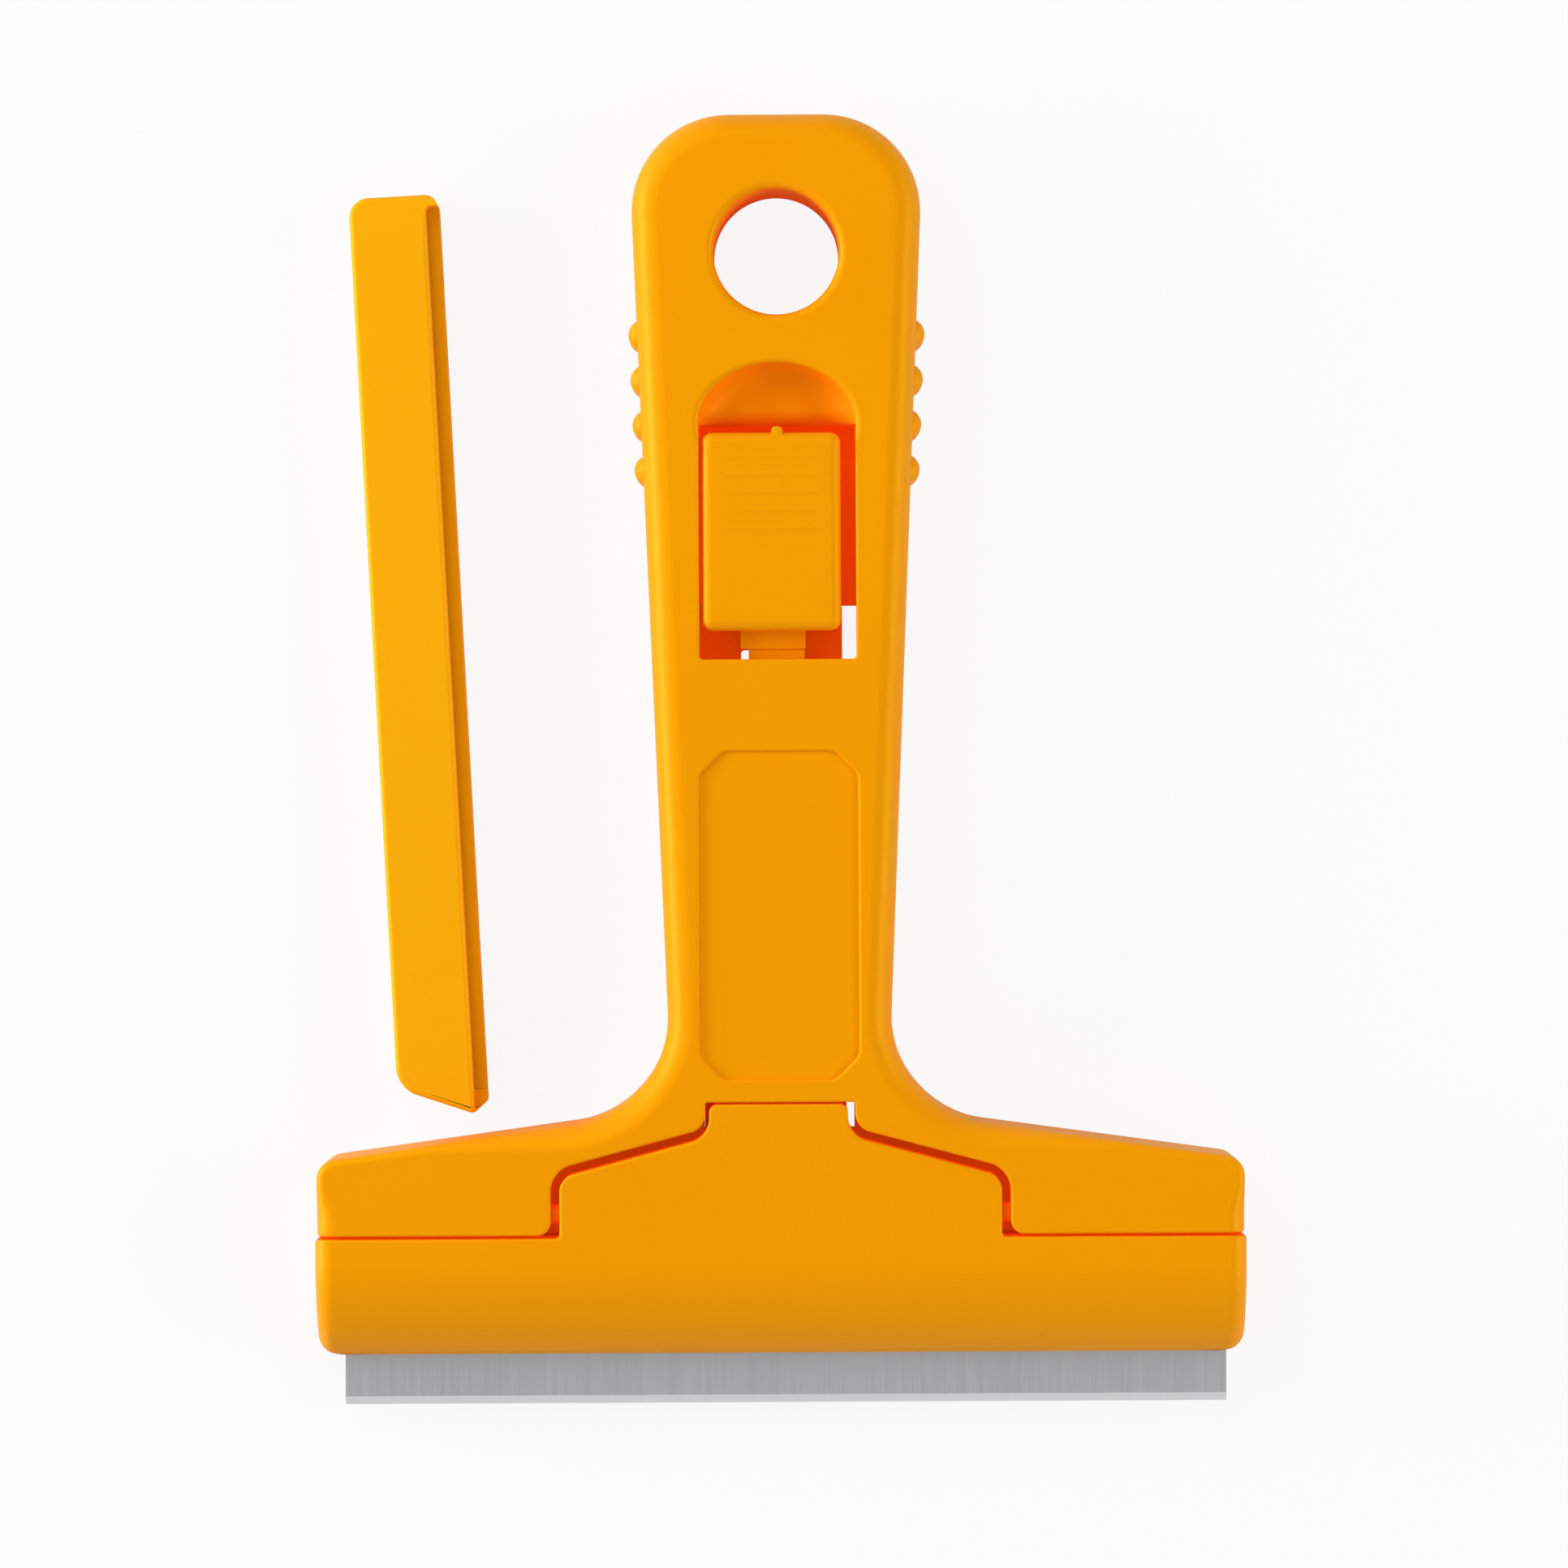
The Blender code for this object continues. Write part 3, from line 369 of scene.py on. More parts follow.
head = {
    "halfWidth": 52.05, "corner": 2.5, "exposed": 6.0, "thickness": 12.0, "backWall": 2.5,
    "seam": 19.4, "blockHalf": 24.8, "blockCorner": 26.2, "blockSlope": radians(15), "blockRound": 2.0,
    "blockGap": 1.0, "tongueHalf": 7.8, "tongueRise": 3.6, "tongueRound": 1.0, "tongueFillet": 2.6,
    "tongueGap": 0.6, "tongueShift": -0.2, "tongueEndGap": 0.2, "notchRound": 0.3,
    "pivotY": 22.0, "pivotZ": 9.6, "trunnion": 1.1, "trunnionReach": 2.0,
}
tongueTop = (head["blockCorner"] + (head["blockHalf"] - head["tongueHalf"]) * tan(head["blockSlope"])
             + head["tongueRise"])


def crown(sideGap, tongueGap, endGap):
    # The right half of the block and tongue, grown by the gaps
    blockX = head["blockHalf"] + sideGap
    tongueX = head["tongueHalf"] + tongueGap
    slope = head["blockSlope"]

    def slopeY(x):
        return head["blockCorner"] + sideGap / cos(slope) + (head["blockHalf"] - x) * tan(slope)

    return [
        (blockX, slopeY(blockX), max(head["blockRound"] + sideGap, 0)),
        (tongueX, slopeY(tongueX), head["tongueFillet"] - sideGap / 2),
        (tongueX, tongueTop + endGap, head["notchRound"] if endGap > 0 else head["tongueRound"]),
    ]


def crowned(bar, sideGap, tongueGap, endGap, shift=0):
    # Both halves, with the tongue moved sideways by the shift
    right = bar + crown(sideGap, tongueGap + shift, endGap)
    left = bar + crown(sideGap, tongueGap - shift, endGap)
    return right + otherSide(left)


# Handle

handle = {
    "length": 145.5, "neckY": 33.6, "neckHalf": 12.15, "neckFillet": 12.0, "endHalf": 16.7, "endCorner": 11.0,
    "shoulderEnd": 28.1, "shoulderCorner": 2.3, "shoulderWall": 2.2, "shoulderRib": 1.4, "shoulderPockets": 3,
    "pocketCorner": 0.6, "seamCorner": 1.5,
    "frontRound": 3.0, "headRound": 2.0, "shoulderRound": 0.9, "backRound": 1.0,
    "shoulderFade": (24, 38), "endFadeStart": 1.3, "endFade": 3.0, "divideOver": 12, "divideCuts": 14,
    "holeY": 129.9, "holeRadius": 7.05, "holeRim": 0.9,
    "grips": 4, "firstGrip": 105.56, "gripPitch": 5.08, "gripRadius": 1.8, "gripProud": 1.0, "gripHeight": 7.6,
    "panelHalf": 8.95, "panelBottom": 37.1, "panelTop": 73.9, "panelDepth": 0.4, "panelChamfer": 2.7,
    "panelCorner": 1.5,
    "windowHalf": 8.8, "windowBottom": 84.2, "windowTop": 110.6, "windowCorner": 0.5,
    "scoopLength": 6.8, "scoopDepth": 3.5, "scoopRim": 0.6, "scoopWall": 2.8, "scoopLip": 1.8,
    "channelHalf": 9.1, "channelStep": 40.0, "channelLeft": -8.62, "channelRight": 8.45,
    "skin": 2.0, "upperWall": 90.5, "lowerWall": 31.1, "bladeDepth": 18.0, "bladeTop": 3.2,
    "coreBottom": 112.6, "coreTop": 120.0, "coreDepth": 6.5, "coreCorner": 2.7,
    "bevelLength": 4.0, "bevelDepth": 1.3,
    "rim": 0.3, "rimFade": (2.7, 5.1), "rimRows": (3.3, 3.7, 4.1, 4.5, 4.9), "seamRim": 45.0,
}


def shoulderY(x):
    slope = (handle["neckY"] - handle["shoulderEnd"]) / (head["halfWidth"] - handle["neckHalf"])
    return handle["shoulderEnd"] + (head["halfWidth"] - x) * slope


def sideX(y):
    slope = (handle["endHalf"] - handle["neckHalf"]) / (handle["length"] - handle["neckY"])
    return handle["neckHalf"] + (y - handle["neckY"]) * slope


def handleBlank():
    blank = raised(mirrored([
        (head["halfWidth"], head["exposed"], head["corner"]),
        (head["halfWidth"], handle["shoulderEnd"], handle["shoulderCorner"]),
        (handle["neckHalf"], handle["neckY"], handle["neckFillet"]),
        (handle["endHalf"], handle["length"], handle["endCorner"]),
    ]), 0, head["thickness"])
    # The long edges of the head are divided, so that their rounding can change on the way
    longEdges = [edge for edge in blank.edges if liesFlat(edge) and edge.calc_length() > handle["divideOver"]
                 and middle(edge).y < handle["neckY"] and abs(middle(edge).x) > handle["neckHalf"]]
    bmesh.ops.bisect_edges(blank, edges=longEdges, cuts=handle["divideCuts"])
    return solid("handle", blank)


def handleRounding(edge):
    # The front rounding narrows along the shoulders, and widens again down the straight ends of the head
    if not liesFlat(edge):
        return 0.0
    place = middle(edge)
    if place.z < tiny:
        return handle["backRound"] / handle["frontRound"]
    top = handle["shoulderEnd"] - handle["shoulderCorner"] - handle["endFadeStart"]
    if place.y < top:
        downEnd = between(top, top - handle["endFade"], place.y)
        width = mix(handle["shoulderRound"], handle["headRound"], downEnd)
    else:
        outwards = between(*handle["shoulderFade"], abs(place.x))
        width = mix(handle["frontRound"], handle["shoulderRound"], outwards)
    return width / handle["frontRound"]


def gripBumps():
    bumps = bmesh.new()
    radius = handle["gripRadius"]
    stretch = handle["gripHeight"] / 2 - radius
    for index in range(handle["grips"]):
        y = handle["firstGrip"] + index * handle["gripPitch"]
        for side in (-1, 1):
            ball = bmesh.ops.create_uvsphere(bumps, u_segments=40, v_segments=21, radius=radius)["verts"]
            for vert in ball:
                vert.co.z += stretch if vert.co.z > 0 else -stretch
            x = side * (sideX(y) + handle["gripProud"] - radius)
            bmesh.ops.translate(bumps, verts=ball, vec=(x, y, head["thickness"] / 2))
    return bumps


def scoopShape():
    # A dish with a soft rim, whose flat floor bends down into the window
    depth = handle["scoopDepth"]
    rim = handle["scoopRim"]
    wall = handle["scoopWall"]
    lip = handle["scoopLip"]
    long = handle["scoopLength"] + rim
    wide = handle["windowHalf"] * long / handle["scoopLength"]
    steps = [(rim * sin(radians(angle)), rim * cos(radians(angle)) - rim) for angle in range(0, 91, 10)]
    steps += [(rim + wall - wall * cos(radians(angle)), -rim - (depth - rim) * sin(radians(angle)))
              for angle in range(10, 91, 5)]

    scoop = bmesh.new()
    bmesh.ops.create_circle(scoop, cap_ends=False, segments=128, radius=1)
    bmesh.ops.scale(scoop, verts=scoop.verts, vec=(wide, long, 1))
    bmesh.ops.translate(scoop, verts=scoop.verts, vec=(0, 0, past))
    edges = scoop.edges[:]
    size = 1.0
    for inwards, z in steps:
        moved = bmesh.ops.extrude_edge_only(scoop, edges=edges)["geom"]
        ring = [part for part in moved if isinstance(part, bmesh.types.BMVert)]
        edges = [part for part in moved if isinstance(part, bmesh.types.BMEdge)]
        smaller = (1 - inwards / long) / size
        bmesh.ops.scale(scoop, verts=ring, vec=(smaller, smaller, 1))
        bmesh.ops.translate(scoop, verts=ring, vec=(0, 0, z - ring[0].co.z))
        size *= smaller
    bmesh.ops.holes_fill(scoop, edges=scoop.edges)
    cutAcross(scoop, [lip - lip * sin(radians(angle)) for angle in range(0, 91, 10)])
    for vert in scoop.verts:
        y = min(max(vert.co.y, 0.0), lip)
        vert.co.z -= (lip - sqrt(lip ** 2 - (lip - y) ** 2)) * between(-rim, -depth, vert.co.z)
    bmesh.ops.translate(scoop, verts=scoop.verts, vec=(0, handle["windowTop"], head["thickness"]))
    bmesh.ops.recalc_face_normals(scoop, faces=scoop.faces)
    return scoop


def handleCuts():
    half = handle["windowHalf"]
    above = head["thickness"] + past
    wide = head["halfWidth"] + 2 * past

    hole = bmesh.new()
    bmesh.ops.create_cone(hole, cap_ends=True, segments=96, radius1=handle["holeRadius"],
                          radius2=handle["holeRadius"], depth=head["thickness"] + 2 * past)
    bmesh.ops.translate(hole, verts=hole.verts, vec=(0, handle["holeY"], head["thickness"] / 2))

    window = raised([
        (-half, handle["windowBottom"], handle["windowCorner"]),
        (half, handle["windowBottom"], handle["windowCorner"]),
        (half, handle["windowTop"], 0),
        (-half, handle["windowTop"], 0),
    ], head["backWall"], above, facet=12)
    cutAcross(window, [handle["windowTop"] - below for below in handle["rimRows"]])
    roof = head["thickness"] - handle["skin"]
    wideChannel = raised(rectangle(-handle["channelHalf"], handle["channelHalf"], handle["channelStep"],
                                   handle["upperWall"]), -past, roof)
    narrowChannel = raised(rectangle(handle["channelLeft"], handle["channelRight"], handle["lowerWall"],
                                     handle["channelStep"] + past), -past, roof)
    cut, corner = handle["panelChamfer"], handle["panelCorner"]
    panel = raised(mirrored([
        (handle["panelHalf"] - cut, handle["panelBottom"], corner),
        (handle["panelHalf"], handle["panelBottom"] + cut, corner),
        (handle["panelHalf"], handle["panelTop"] - cut, corner),
        (handle["panelHalf"] - cut, handle["panelTop"], corner),
    ]), head["thickness"] - handle["panelDepth"], above)
    core = raised(rectangle(-half, half, handle["coreBottom"], handle["coreTop"], handle["coreCorner"]),
                  -past, handle["coreDepth"])
    bed = raised(rectangle(-wide, wide, -past, handle["bladeDepth"] + gap), head["backWall"], above)
    gaps = (head["blockGap"], head["tongueGap"], head["tongueEndGap"])
    blockSide = head["blockHalf"] + head["blockGap"]
    seamY = head["seam"] + gap
    bay = raised(crowned([
        (wide, -past, 0), (wide, seamY, 0), (blockSide, seamY, handle["seamCorner"]),
    ], *gaps), handle["bladeTop"], above)
    hollow = raised(crowned([(blockSide, seamY, 0)], *gaps), head["backWall"], above)
    reach = blockSide + head["trunnionReach"]
    sockets = rod(head["pivotY"], head["pivotZ"], head["trunnion"] + gap, -reach, reach)
    slope = handle["bevelDepth"] / handle["bevelLength"]
    front = head["exposed"]
    backBevel = raisedSideways([
        (front - past, -past, 0),
        (front + handle["bevelLength"] + past / slope, -past, 0),
        (front - past, handle["bevelDepth"] + past * slope, 0),
    ], -wide, wide)
    # The cut walls get no, half or full painted gap shade and emission, by how far inside the handle they lie
    return {
        outer: [panel, backBevel, core] + shoulderPockets(reach),
        shallow: [hole, scoopShape()],
        inner: [window, wideChannel, narrowChannel, bed, bay, hollow, sockets],
    }


def shoulderPockets(reach):
    # Pockets in the back of the shoulders, between the sockets and the ends
    wall = handle["shoulderWall"]
    corner = handle["pocketCorner"]
    start = reach + wall
    end = head["halfWidth"] - wall
    bottom = head["seam"] + gap + wall
    count = handle["shoulderPockets"]
    width = (end - start - (count - 1) * handle["shoulderRib"]) / count
    pockets = []
    for index in range(count):
        near = start + index * (width + handle["shoulderRib"])
        far = near + width
        right = [
            (near, bottom, corner), (far, bottom, corner),
            (far, shoulderY(far) - wall, corner), (near, shoulderY(near) - wall, corner),
        ]
        for corners in (right, otherSide(right)):
            pockets.append(raised(corners, -past, head["thickness"] - wall, facet=12))
    return pockets


def onHoleRim(edge):
    place = middle(edge)
    fromCentre = Vector((place.x, place.y - handle["holeY"])).length
    return abs(fromCentre - handle["holeRadius"]) < 0.1 and liesFlat(edge)


def rimWeight(edge):
    # The rims of the window, panel, notch and seam are rounded, the window's less towards the scoop
    place = middle(edge)
    inFront = all(vert.co.z > head["thickness"] - tiny for vert in edge.verts)
    below = handle["windowTop"] - place.y
    if inFront and abs(abs(place.x) - handle["windowHalf"]) < close and below > 0:
        return between(*handle["rimFade"], below)
    onSeam = all(abs(vert.co.y - head["seam"] - gap) < close and abs(vert.co.x) > handle["seamRim"]
                 and vert.co.z > handle["bladeTop"] + gap for vert in edge.verts)
    return float(inFront or onSeam)


handlePiece = handleBlank()
roundByWeight(handlePiece, handle["frontRound"], 10, handleRounding)
combine(handlePiece, "UNION", gripBumps())
for depth, cuts in handleCuts().items():
    combine(handlePiece, "DIFFERENCE", *cuts, side=depth)
soften(handlePiece, handle["holeRim"], 8, onHoleRim)
roundByWeight(handlePiece, handle["rim"], 5, rimWeight)
finishPiece(handlePiece, amber, "handle", "amber_plastic", "handle_body")


# Clamp jaw

jaw = {
    "halfWidth": 52.3, "wall": 2.0, "skin": 2.2, "lip": 3.5, "lipZ": 3.5, "ribs": 7, "rib": 1.4,
    "endRound": 2.0, "seamCorner": 0.5,
    "pocketCorner": 0.6, "pocketBend": 13.6, "pocketBendRound": 3.0, "pocketLipZ": 7.8, "pocketLipRound": 0.4,
    "blockPocket": 0.6,
    "noseCorner": 9.81, "noseRadius": 12.77, "noseSlope": 1.444, "noseLow": 6.5,
    "footY": 33.05, "footZ": 7.6, "footRadius": 0.8, "tailWall": 1.7, "edge": 0.35,
}


def onFrontEnd(edge):
    # Edges between the front face and the two ends of the side profile
    def inFront(place):
        return place.z > head["thickness"] - tiny or (place.z > jaw["lipZ"] and place.y < head["seam"] - tiny)

    return (abs(edge.verts[0].co.x - edge.verts[1].co.x) < tiny
            and all(inFront(vert.co) for vert in edge.verts))


def jawBlank():
    # The side profile runs deeper than the jaw, so that its ends are rounded as far as the blade
    front = head["exposed"] - past
    top = tongueTop + past
    half = jaw["halfWidth"]
    below = jaw["lipZ"] - 2 * jaw["endRound"]
    profile = raisedSideways([
        (front, below, 0), (head["seam"], below, 0), (head["seam"], jaw["footZ"], 0),
        (top, jaw["footZ"], 0), (top, head["thickness"], 0),
        (jaw["noseCorner"], head["thickness"], jaw["noseRadius"]),
        (front, jaw["noseLow"] - past * jaw["noseSlope"], 0),
    ], -half, half, facet=2)
    roundEdges(profile, [edge for edge in profile.edges if onFrontEnd(edge)], jaw["endRound"], 12)
    outline = raised(crowned([
        (half, head["exposed"], head["corner"]),
        (half, head["seam"], jaw["seamCorner"]),
        (head["blockHalf"], head["seam"], jaw["seamCorner"]),
    ], 0, 0, 0, head["tongueShift"]), jaw["lipZ"], head["thickness"] + past)
    # The walls that stand in the handle are marked for the full painted gap shade and emission
    for face in outline.faces:                     # the walls that stand in the handle
        if face.calc_center_median().y > head["seam"] - 0.1 and abs(face.normal.z) < 0.1:
            face.material_index = inner
    piece = solid("clampJaw", profile)
    combine(piece, "INTERSECT", outline)
    return piece


def jawPockets():
    # Pockets between the bar's ribs, and one in the block
    half = jaw["halfWidth"]
    lipEnd = head["exposed"] + jaw["lip"]
    wallY = head["seam"] - jaw["wall"]
    ceiling = head["thickness"] - jaw["skin"]
    floor = jaw["lipZ"] - past
    pitch = (2 * half - 2 * jaw["wall"] + jaw["rib"]) / (jaw["ribs"] + 1)
    pockets = []
    for index in range(jaw["ribs"] + 1):
        left = -half + jaw["wall"] + index * pitch
        pockets.append(raisedSideways([
            (lipEnd, floor, 0), (wallY, floor, 0), (wallY, ceiling, jaw["pocketCorner"]),
            (jaw["pocketBend"], ceiling, jaw["pocketBendRound"]),
            (lipEnd, jaw["pocketLipZ"], jaw["pocketLipRound"]),
        ], left, left + pitch - jaw["rib"], facet=12))
    wall = jaw["wall"]
    block = mirrored([(head["blockHalf"] - wall, head["seam"] + jaw["blockPocket"], 0)]
                     + [(x, y, jaw["pocketCorner"]) for x, y, radius in crown(-wall, -wall, -jaw["tailWall"])])
    pockets.append(raised(block, floor, ceiling, facet=12))
    return pockets


jawPiece = jawBlank()
soften(jawPiece, jaw["edge"], 4)
combine(jawPiece, "DIFFERENCE", *jawPockets())
footHalf = head["tongueHalf"] - head["tongueRound"]
trunnionStart = head["blockHalf"] - jaw["wall"] / 2
trunnionEnd = head["blockHalf"] + head["blockGap"] + head["trunnionReach"] - gap
trunnions = [rod(head["pivotY"], head["pivotZ"], head["trunnion"], left, right)
             for left, right in ((-trunnionEnd, -trunnionStart), (trunnionStart, trunnionEnd))]
foot = rod(jaw["footY"], jaw["footZ"], jaw["footRadius"], -footHalf, footHalf, sides=32)
# The foot and trunnions sit in the handle's gaps, so they get the full painted gap shade and emission
combine(jawPiece, "UNION", foot, *trunnions, side=inner)
finishPiece(jawPiece, amber, "jaw", "amber_plastic", "clamp_jaw")


# Lock slider

slider = {
    "shift": -0.7, "carriageZ": 2.8, "carriageTop": 5.2, "carriageBottom": 72.0,
    "carriageLeft": -8.25, "carriageRight": 7.95, "barRight": 8.2, "shoulderY": 90.45, "corner": 0.4,
    "padBottom": 28.55, "padTop": 6.5, "padRound": 0.5,
    "rampTopRound": 1.0, "rampEnd": 36.96, "rampEndRound": 2.0,
    "knobHalf": 7.8, "knobBottom": 87.4, "knobTop": 109.6, "knobCorner": 1.2, "knobRound": 1.15, "knobZ": 12.2,
    "knobRoot": 4.0, "holeHalf": 3.5, "holeBottom": 74.5,
    "fingerLeft": -3.5, "fingerRight": 3.7, "fingerStep": 0.9, "stepY": 85.4, "stepRound": 0.2,
    "fingerBottom": 70.0, "fingerLow": 7.4, "fingerHigh": 9.2, "fingerRaise": 0.25, "rootMore": 0.1,
    "bumpIn": 2.0, "bumpSunk": 0.5, "bumpRadius": 1.0,
    "nubHalf": 0.62, "nubTop": 110.3, "nubCorner": 0.5, "nubZ": 11.85, "nubRound": 0.25,
    "ridges": 5, "ridgeFirst": 98.9, "ridgePitch": 2.0, "ridgeHalf": 5.0, "ridgeFade": 1.4, "ridgeInset": 0.1,
    "ridgeRadius": 1.5, "ridgeProud": 0.05,
}


def knobShape():
    knob = raised(rectangle(-slider["knobHalf"], slider["knobHalf"], slider["knobBottom"], slider["knobTop"],
                            slider["knobCorner"]), slider["knobRoot"], slider["knobZ"])
    roundTop(knob, slider["knobZ"], slider["knobRound"], 8)
    return knob


def knobRidges():
    # Fine ridges across the knob, whose ends run out into its face
    ridges = []
    z = slider["knobZ"] + slider["ridgeProud"] - slider["ridgeRadius"]
    for index in range(slider["ridges"]):
        y = slider["ridgeFirst"] + index * slider["ridgePitch"]
        ridge = rod(y, z, slider["ridgeRadius"], -slider["ridgeHalf"], slider["ridgeHalf"], sides=64)
        ends = [face for face in ridge.faces if abs(face.normal.x) > 0.9]
        bmesh.ops.inset_individual(ridge, faces=ends, thickness=slider["ridgeInset"], depth=slider["ridgeFade"])
        ridges.append(ridge)
    return ridges


def nubShape():
    nub = raised(rectangle(-slider["nubHalf"] - slider["shift"], slider["nubHalf"] - slider["shift"],
                           slider["knobTop"] - past, slider["nubTop"], slider["nubCorner"]),
                 slider["knobRoot"], slider["nubZ"], facet=15)
    roundTop(nub, slider["nubZ"], slider["nubRound"], 5)
    return nub


def barShape():
    # The bar that runs under the front skin, with the cam pad and its ramp at the lower end
    low, top = slider["carriageZ"], slider["carriageTop"]
    end = slider["carriageBottom"] + past
    return raisedSideways([
        (slider["padBottom"], low, 0), (end, low, 0), (end, top, 0),
        (slider["rampEnd"], top, slider["rampEndRound"]),
        (jaw["footY"], slider["padTop"], slider["rampTopRound"]),
        (slider["padBottom"], slider["padTop"], slider["padRound"]),
    ], -slider["knobHalf"], slider["barRight"], facet=8)


def fingerShapes():
    # The spring finger, its thicker root and the bump near its tip
    left, right = slider["fingerLeft"], slider["fingerRight"]
    tipLeft = left + slider["fingerStep"]
    rootRight = right + slider["rootMore"]
    end = slider["knobBottom"] + past
    stepY, stepRound = slider["stepY"], slider["stepRound"]
    finger = raised([
        (tipLeft, slider["fingerBottom"], slider["corner"]), (right, slider["fingerBottom"], slider["corner"]),
        (right, end, 0), (left, end, 0), (left, stepY, stepRound), (tipLeft, stepY, stepRound),
    ], slider["fingerLow"], slider["fingerHigh"], facet=15)
    root = raised([
        (left, stepY, stepRound), (rootRight, stepY, stepRound), (rootRight, end, 0), (left, end, 0),
    ], slider["fingerLow"] + slider["rootMore"], slider["fingerHigh"] + slider["fingerRaise"], facet=15)
    bump = rod(slider["fingerBottom"] + slider["bumpIn"], slider["fingerHigh"] - slider["bumpSunk"],
               slider["bumpRadius"], tipLeft + gap, right - gap)
    return finger, root, bump


sliderPiece = solid("lockSlider", barShape())
# The carriage, the knob's foot and the finger hole lie under the front skin and get the full painted gap shade
# and emission
combine(sliderPiece, "UNION",
        raised(rectangle(slider["carriageLeft"], slider["carriageRight"], slider["carriageBottom"],
                         slider["shoulderY"], slider["corner"]), slider["carriageZ"], slider["carriageTop"]),
        raised(rectangle(-slider["knobHalf"], slider["knobHalf"], slider["shoulderY"] - past, slider["knobTop"],
                         slider["knobCorner"] / 2), slider["carriageZ"], slider["carriageTop"]), side=inner)
fingerHole = raised(rectangle(-slider["holeHalf"], slider["holeHalf"], slider["holeBottom"], slider["stepY"],
                              slider["corner"]), 0, slider["carriageTop"] + past, facet=15)
combine(sliderPiece, "DIFFERENCE", fingerHole, side=inner)
combine(sliderPiece, "UNION", knobShape(), *fingerShapes(), nubShape())
combine(sliderPiece, "UNION", *knobRidges())
sliderPiece.data.transform(Matrix.Translation((slider["shift"], 0, 0)))
finishPiece(sliderPiece, amber, "slider", "amber_plastic", "lock_slider")


# Blade

blade = {"half": 50.0, "shift": 0.5, "depth": 18.0, "low": 2.8, "high": 3.2, "ground": 0.9, "edge": 0.04}
steel = brushedSteel("bladeSteel")
halfway = (blade["low"] + blade["high"]) / 2
bladeShape = raisedSideways([
    (0, halfway - blade["edge"], 0), (blade["ground"], blade["low"], 0), (blade["depth"], blade["low"], 0),
    (blade["depth"], blade["high"], 0), (blade["ground"], blade["high"], 0), (0, halfway + blade["edge"], 0),
], blade["shift"] - blade["half"], blade["shift"] + blade["half"])
bladePiece = solid("bladeStrip", bladeShape)
finishPiece(bladePiece, steel, "blade", "blade_steel", "blade")


# Blade guard, drawn in its own axes and then laid beside the handle

guard = {
    "length": 104.1, "thickness": 6.0, "frontLip": 8.6, "backLip": 10.0, "round": 0.6,
    "slant": 3.3, "facetAcross": 1.5, "facetAlong": 1.2, "facetCorner": 0.7,
    "topCorner": 2.2, "mouthCorner": 1.4,
    "spine": 2.5, "wall": 0.9, "slot": 0.9, "slotStart": 2.6,
    "setbackStart": 0.8, "setbackSlant": 0.4, "setbackFoot": 0.3, "setbackEnd": 1.3, "setbackCorner": 0.5,
    "lipRound": 0.45, "lipReach": 0.5, "lipFade": 3.0, "lipRows": (0.4, 0.9, 1.4, 1.9, 2.4, 3.0),
    "tipBelow": 50.0,
    "tipX": 10.65, "tilt": radians(2.86), "insetX": 19.5, "standoff": 2.4,
}


def guardPlace():
    # Its tip lies beside the left shoulder, and its upper end leans to the left
    tipX = head["halfWidth"] - guard["insetX"]
    tip = Vector((-tipX, shoulderY(tipX) + guard["standoff"], 0))
    turn = Matrix.Rotation(guard["tilt"], 4, "Z")
    return Matrix.Translation(tip - turn @ Vector((guard["tipX"], 0, 0))) @ turn


guardPiece = solid("bladeGuard", raised([
    (0, guard["slant"], guard["slant"]),
    (guard["backLip"] - guard["facetAcross"], 0, guard["facetCorner"]),
    (guard["backLip"], guard["facetAlong"], guard["facetCorner"]),
    (guard["backLip"], guard["length"], guard["mouthCorner"]),
    (0, guard["length"], guard["topCorner"]),
], 0, guard["thickness"]))
rimX = guard["backLip"] - guard["round"]
roundByWeight(guardPiece, guard["round"], 6,
              lambda edge: float(liesFlat(edge) and middle(edge).x < rimX))
slotEnd = guard["length"] - guard["wall"]
halfThick = guard["thickness"] / 2
slot = raised(rectangle(guard["spine"], guard["backLip"] + past, guard["slotStart"], slotEnd),
              halfThick - guard["slot"] / 2, halfThick + guard["slot"] / 2)
setbackTop = guard["length"] - guard["setbackEnd"]
cornerY = setbackTop - guard["setbackCorner"]
setback = raised([
    (guard["frontLip"], guard["setbackStart"] - guard["setbackSlant"], guard["setbackFoot"]),
    (guard["backLip"] + past, guard["setbackStart"] + guard["setbackSlant"], 0),
    (guard["backLip"] + past, setbackTop, 0),
    (guard["frontLip"], setbackTop, guard["setbackCorner"]),
], halfThick, guard["thickness"] + past, facet=15)
cutAcross(setback, [cornerY - below for below in guard["lipRows"]])
combine(guardPiece, "DIFFERENCE", slot, setback)


def lipWeight(edge):
    # The front lip's rounding runs out towards its top corner, and goes round the lip's end at the tip
    if not all(vert.co.z > guard["thickness"] - close and vert.co.x > guard["frontLip"] - guard["round"]
               for vert in edge.verts):
        return 0.0
    place = middle(edge)
    below = cornerY - place.y
    if place.x < guard["frontLip"] + guard["lipReach"]:
        return between(0, guard["lipFade"], below)
    return float(below > guard["tipBelow"])


roundByWeight(guardPiece, guard["lipRound"], 5, lipWeight)
guardPiece.data.transform(guardPlace())
finishPiece(guardPiece, amberGuard, "guard", "guard_plastic", "blade_guard")


# Floor, light and camera

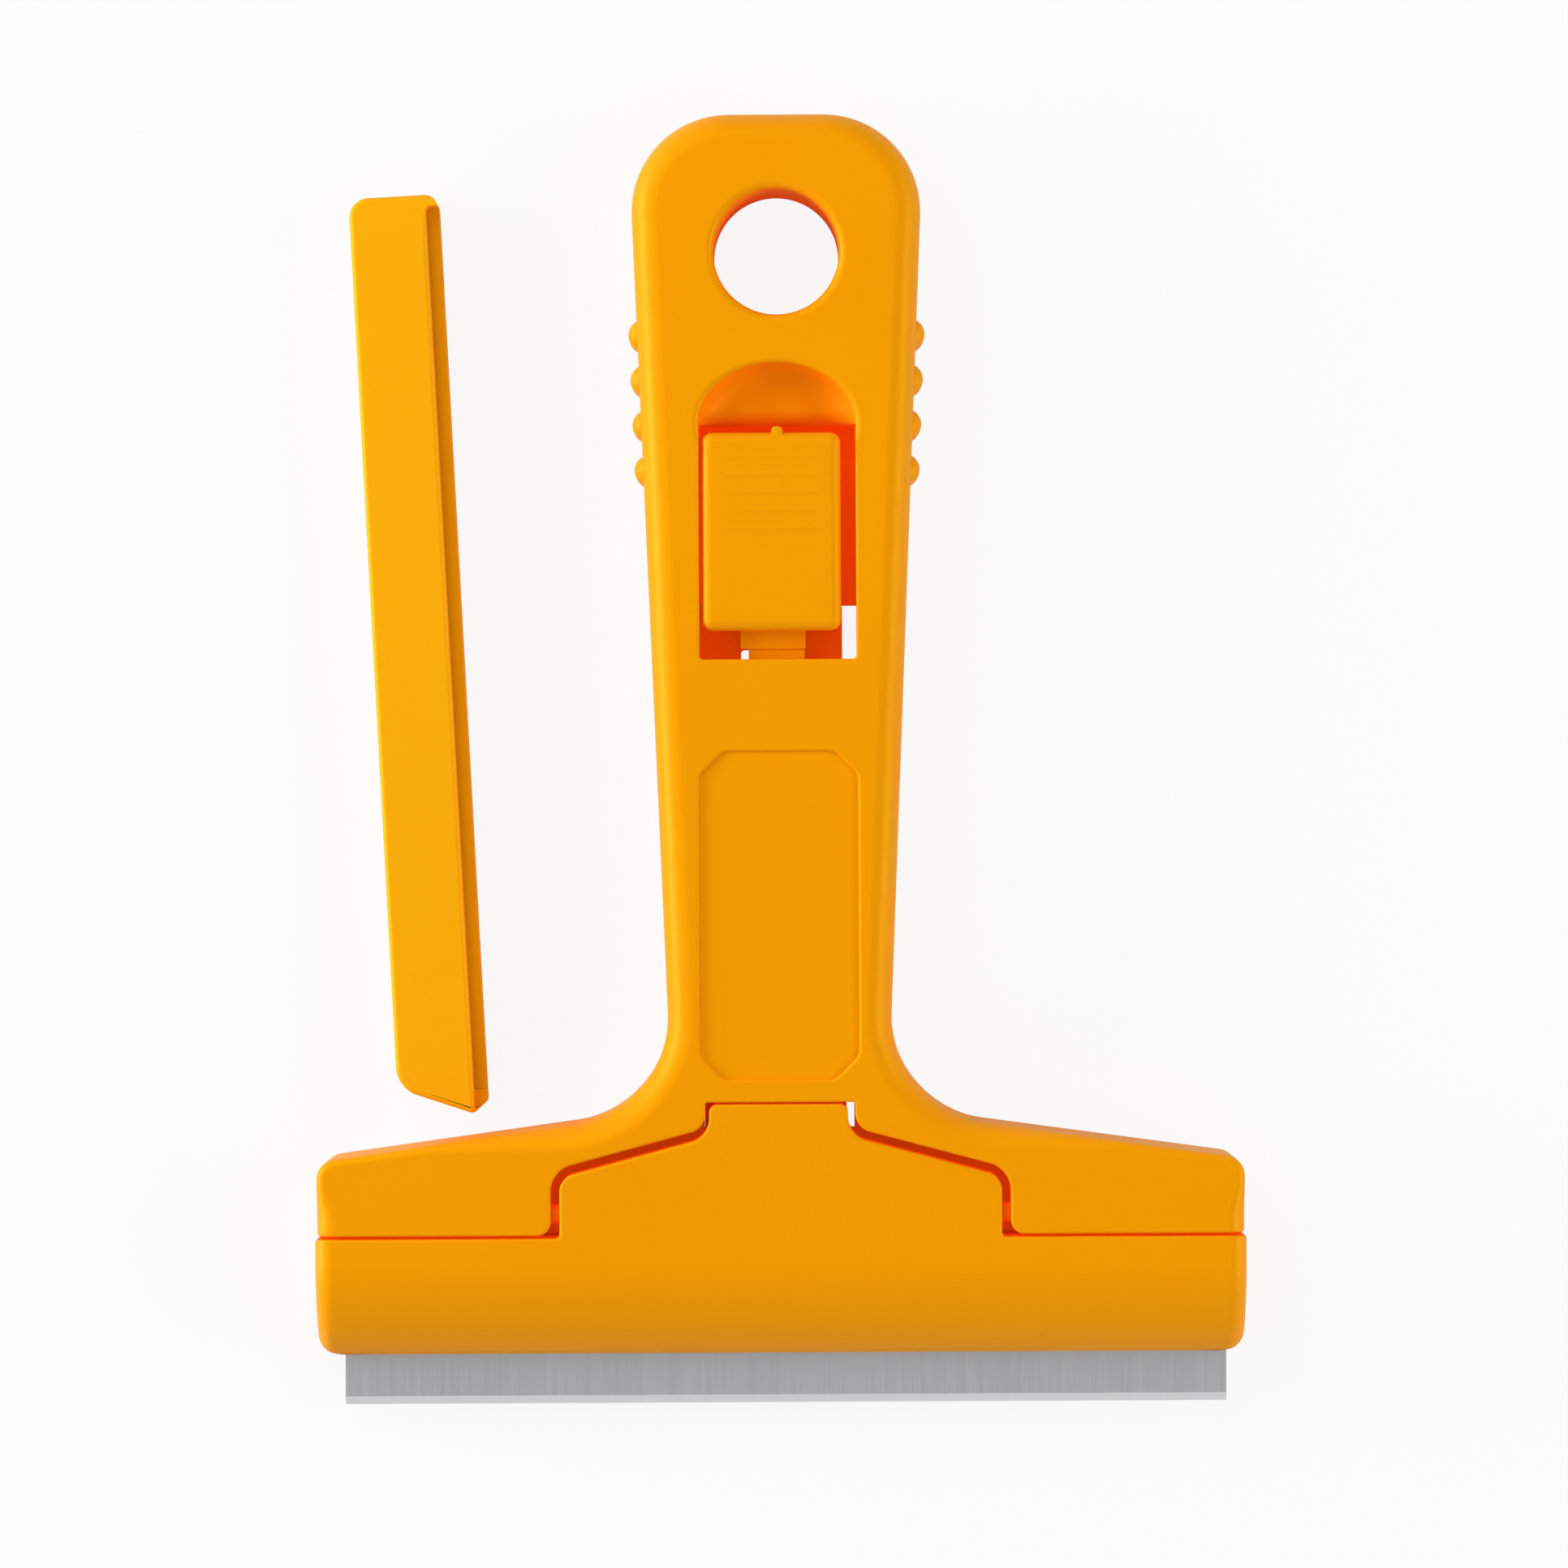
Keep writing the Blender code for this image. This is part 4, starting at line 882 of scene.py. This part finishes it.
studio = {
    "cameraHeight": 0.62, "aimX": 0.0006, "aimY": -0.00255, "frameWidth": 0.1764, "outlineHeight": 0.009,
    "roll": radians(0.28), "sensor": 36, "fill": 0.2,
    "floorHalf": 1.5, "floorDrop": 0.0002, "floorShade": (0.78, 0.78, 0.78, 1), "floorWhite": 0.9,
    "lamps": {
        "keyAbove": ((-0.26, 0.38, 0.46), (0.45, 0.45), 1.6),
        "leftLow": ((-0.62, 0.08, 0.17), (0.5, 0.22), 4.2),
        "rightLow": ((0.60, -0.06, 0.30), (0.5, 0.22), 2.4),
        "nearEdge": ((0.0, -0.55, 0.30), (0.5, 0.3), 0.5),
    },
}


def paleFloor():
    # Almost white for the camera, and pale for the light that it throws back
    finish = Finish("paleFloor")
    seen = finish.node("ShaderNodeLightPath", output="Is Camera Ray")
    plain = finish.node("ShaderNodeBsdfDiffuse", {}, {"Color": studio["floorShade"]})
    white = finish.node("ShaderNodeEmission", {}, {"Color": (1, 1, 1, 1), "Strength": 1.0})
    mixed = finish.node("ShaderNodeMixShader", {}, {0: seen * studio["floorWhite"], 1: plain, 2: white})
    finish.node("ShaderNodeOutputMaterial", {}, {"Surface": mixed})
    return finish.material


def plainWorld():
    # White for the camera and in reflections, and dim as a light
    world = bpy.data.worlds.new("studioWorld")
    world.use_nodes = True
    nodes = world.node_tree.nodes
    links = world.node_tree.links
    background = nodes["Background"]
    path = nodes.new("ShaderNodeLightPath")
    seen = path.outputs["Is Camera Ray"]
    for ray in ("Is Glossy Ray", "Is Transmission Ray"):
        either = nodes.new("ShaderNodeMath")
        either.operation = "MAXIMUM"
        links.new(seen, either.inputs[0])
        links.new(path.outputs[ray], either.inputs[1])
        seen = either.outputs[0]
    level = nodes.new("ShaderNodeMapRange")
    links.new(seen, level.inputs["Value"])
    level.inputs["To Min"].default_value = studio["fill"]
    level.inputs["To Max"].default_value = 1.0
    links.new(level.outputs[0], background.inputs["Strength"])
    background.inputs["Color"].default_value = (1, 1, 1, 1)
    bpy.context.scene.world = world


def softLight(name, place, size, power):
    lamp = bpy.data.lights.new(name, "AREA")
    lamp.shape = "RECTANGLE"
    lamp.size, lamp.size_y = size
    lamp.energy = power
    holder = bpy.data.objects.new(name, lamp)
    holder.location = place
    holder.rotation_euler = (-Vector(place)).to_track_quat("-Z", "Y").to_euler()
    bpy.context.scene.collection.objects.link(holder)


floorShape = bmesh.new()
bmesh.ops.create_grid(floorShape, x_segments=1, y_segments=1, size=studio["floorHalf"])
bmesh.ops.translate(floorShape, verts=floorShape.verts, vec=(0, 0, -studio["floorDrop"]))
floor = solid("floor", floorShape)
floor.data.materials.clear()
floor.data.materials.append(paleFloor())
plainWorld()
for name, (place, size, power) in studio["lamps"].items():
    softLight(name, place, size, power)

camera = bpy.data.cameras.new("camera")
camera.sensor_width = studio["sensor"]
camera.lens = studio["sensor"] * (studio["cameraHeight"] - studio["outlineHeight"]) / studio["frameWidth"]
cameraHolder = bpy.data.objects.new("camera", camera)
cameraHolder.location = (studio["aimX"], studio["aimY"], studio["cameraHeight"])
cameraHolder.rotation_euler = (0, 0, -studio["roll"])
bpy.context.scene.collection.objects.link(cameraHolder)
bpy.context.scene.camera = cameraHolder
bpy.context.scene.view_settings.view_transform = "Standard"
print("floor, lights and camera placed")
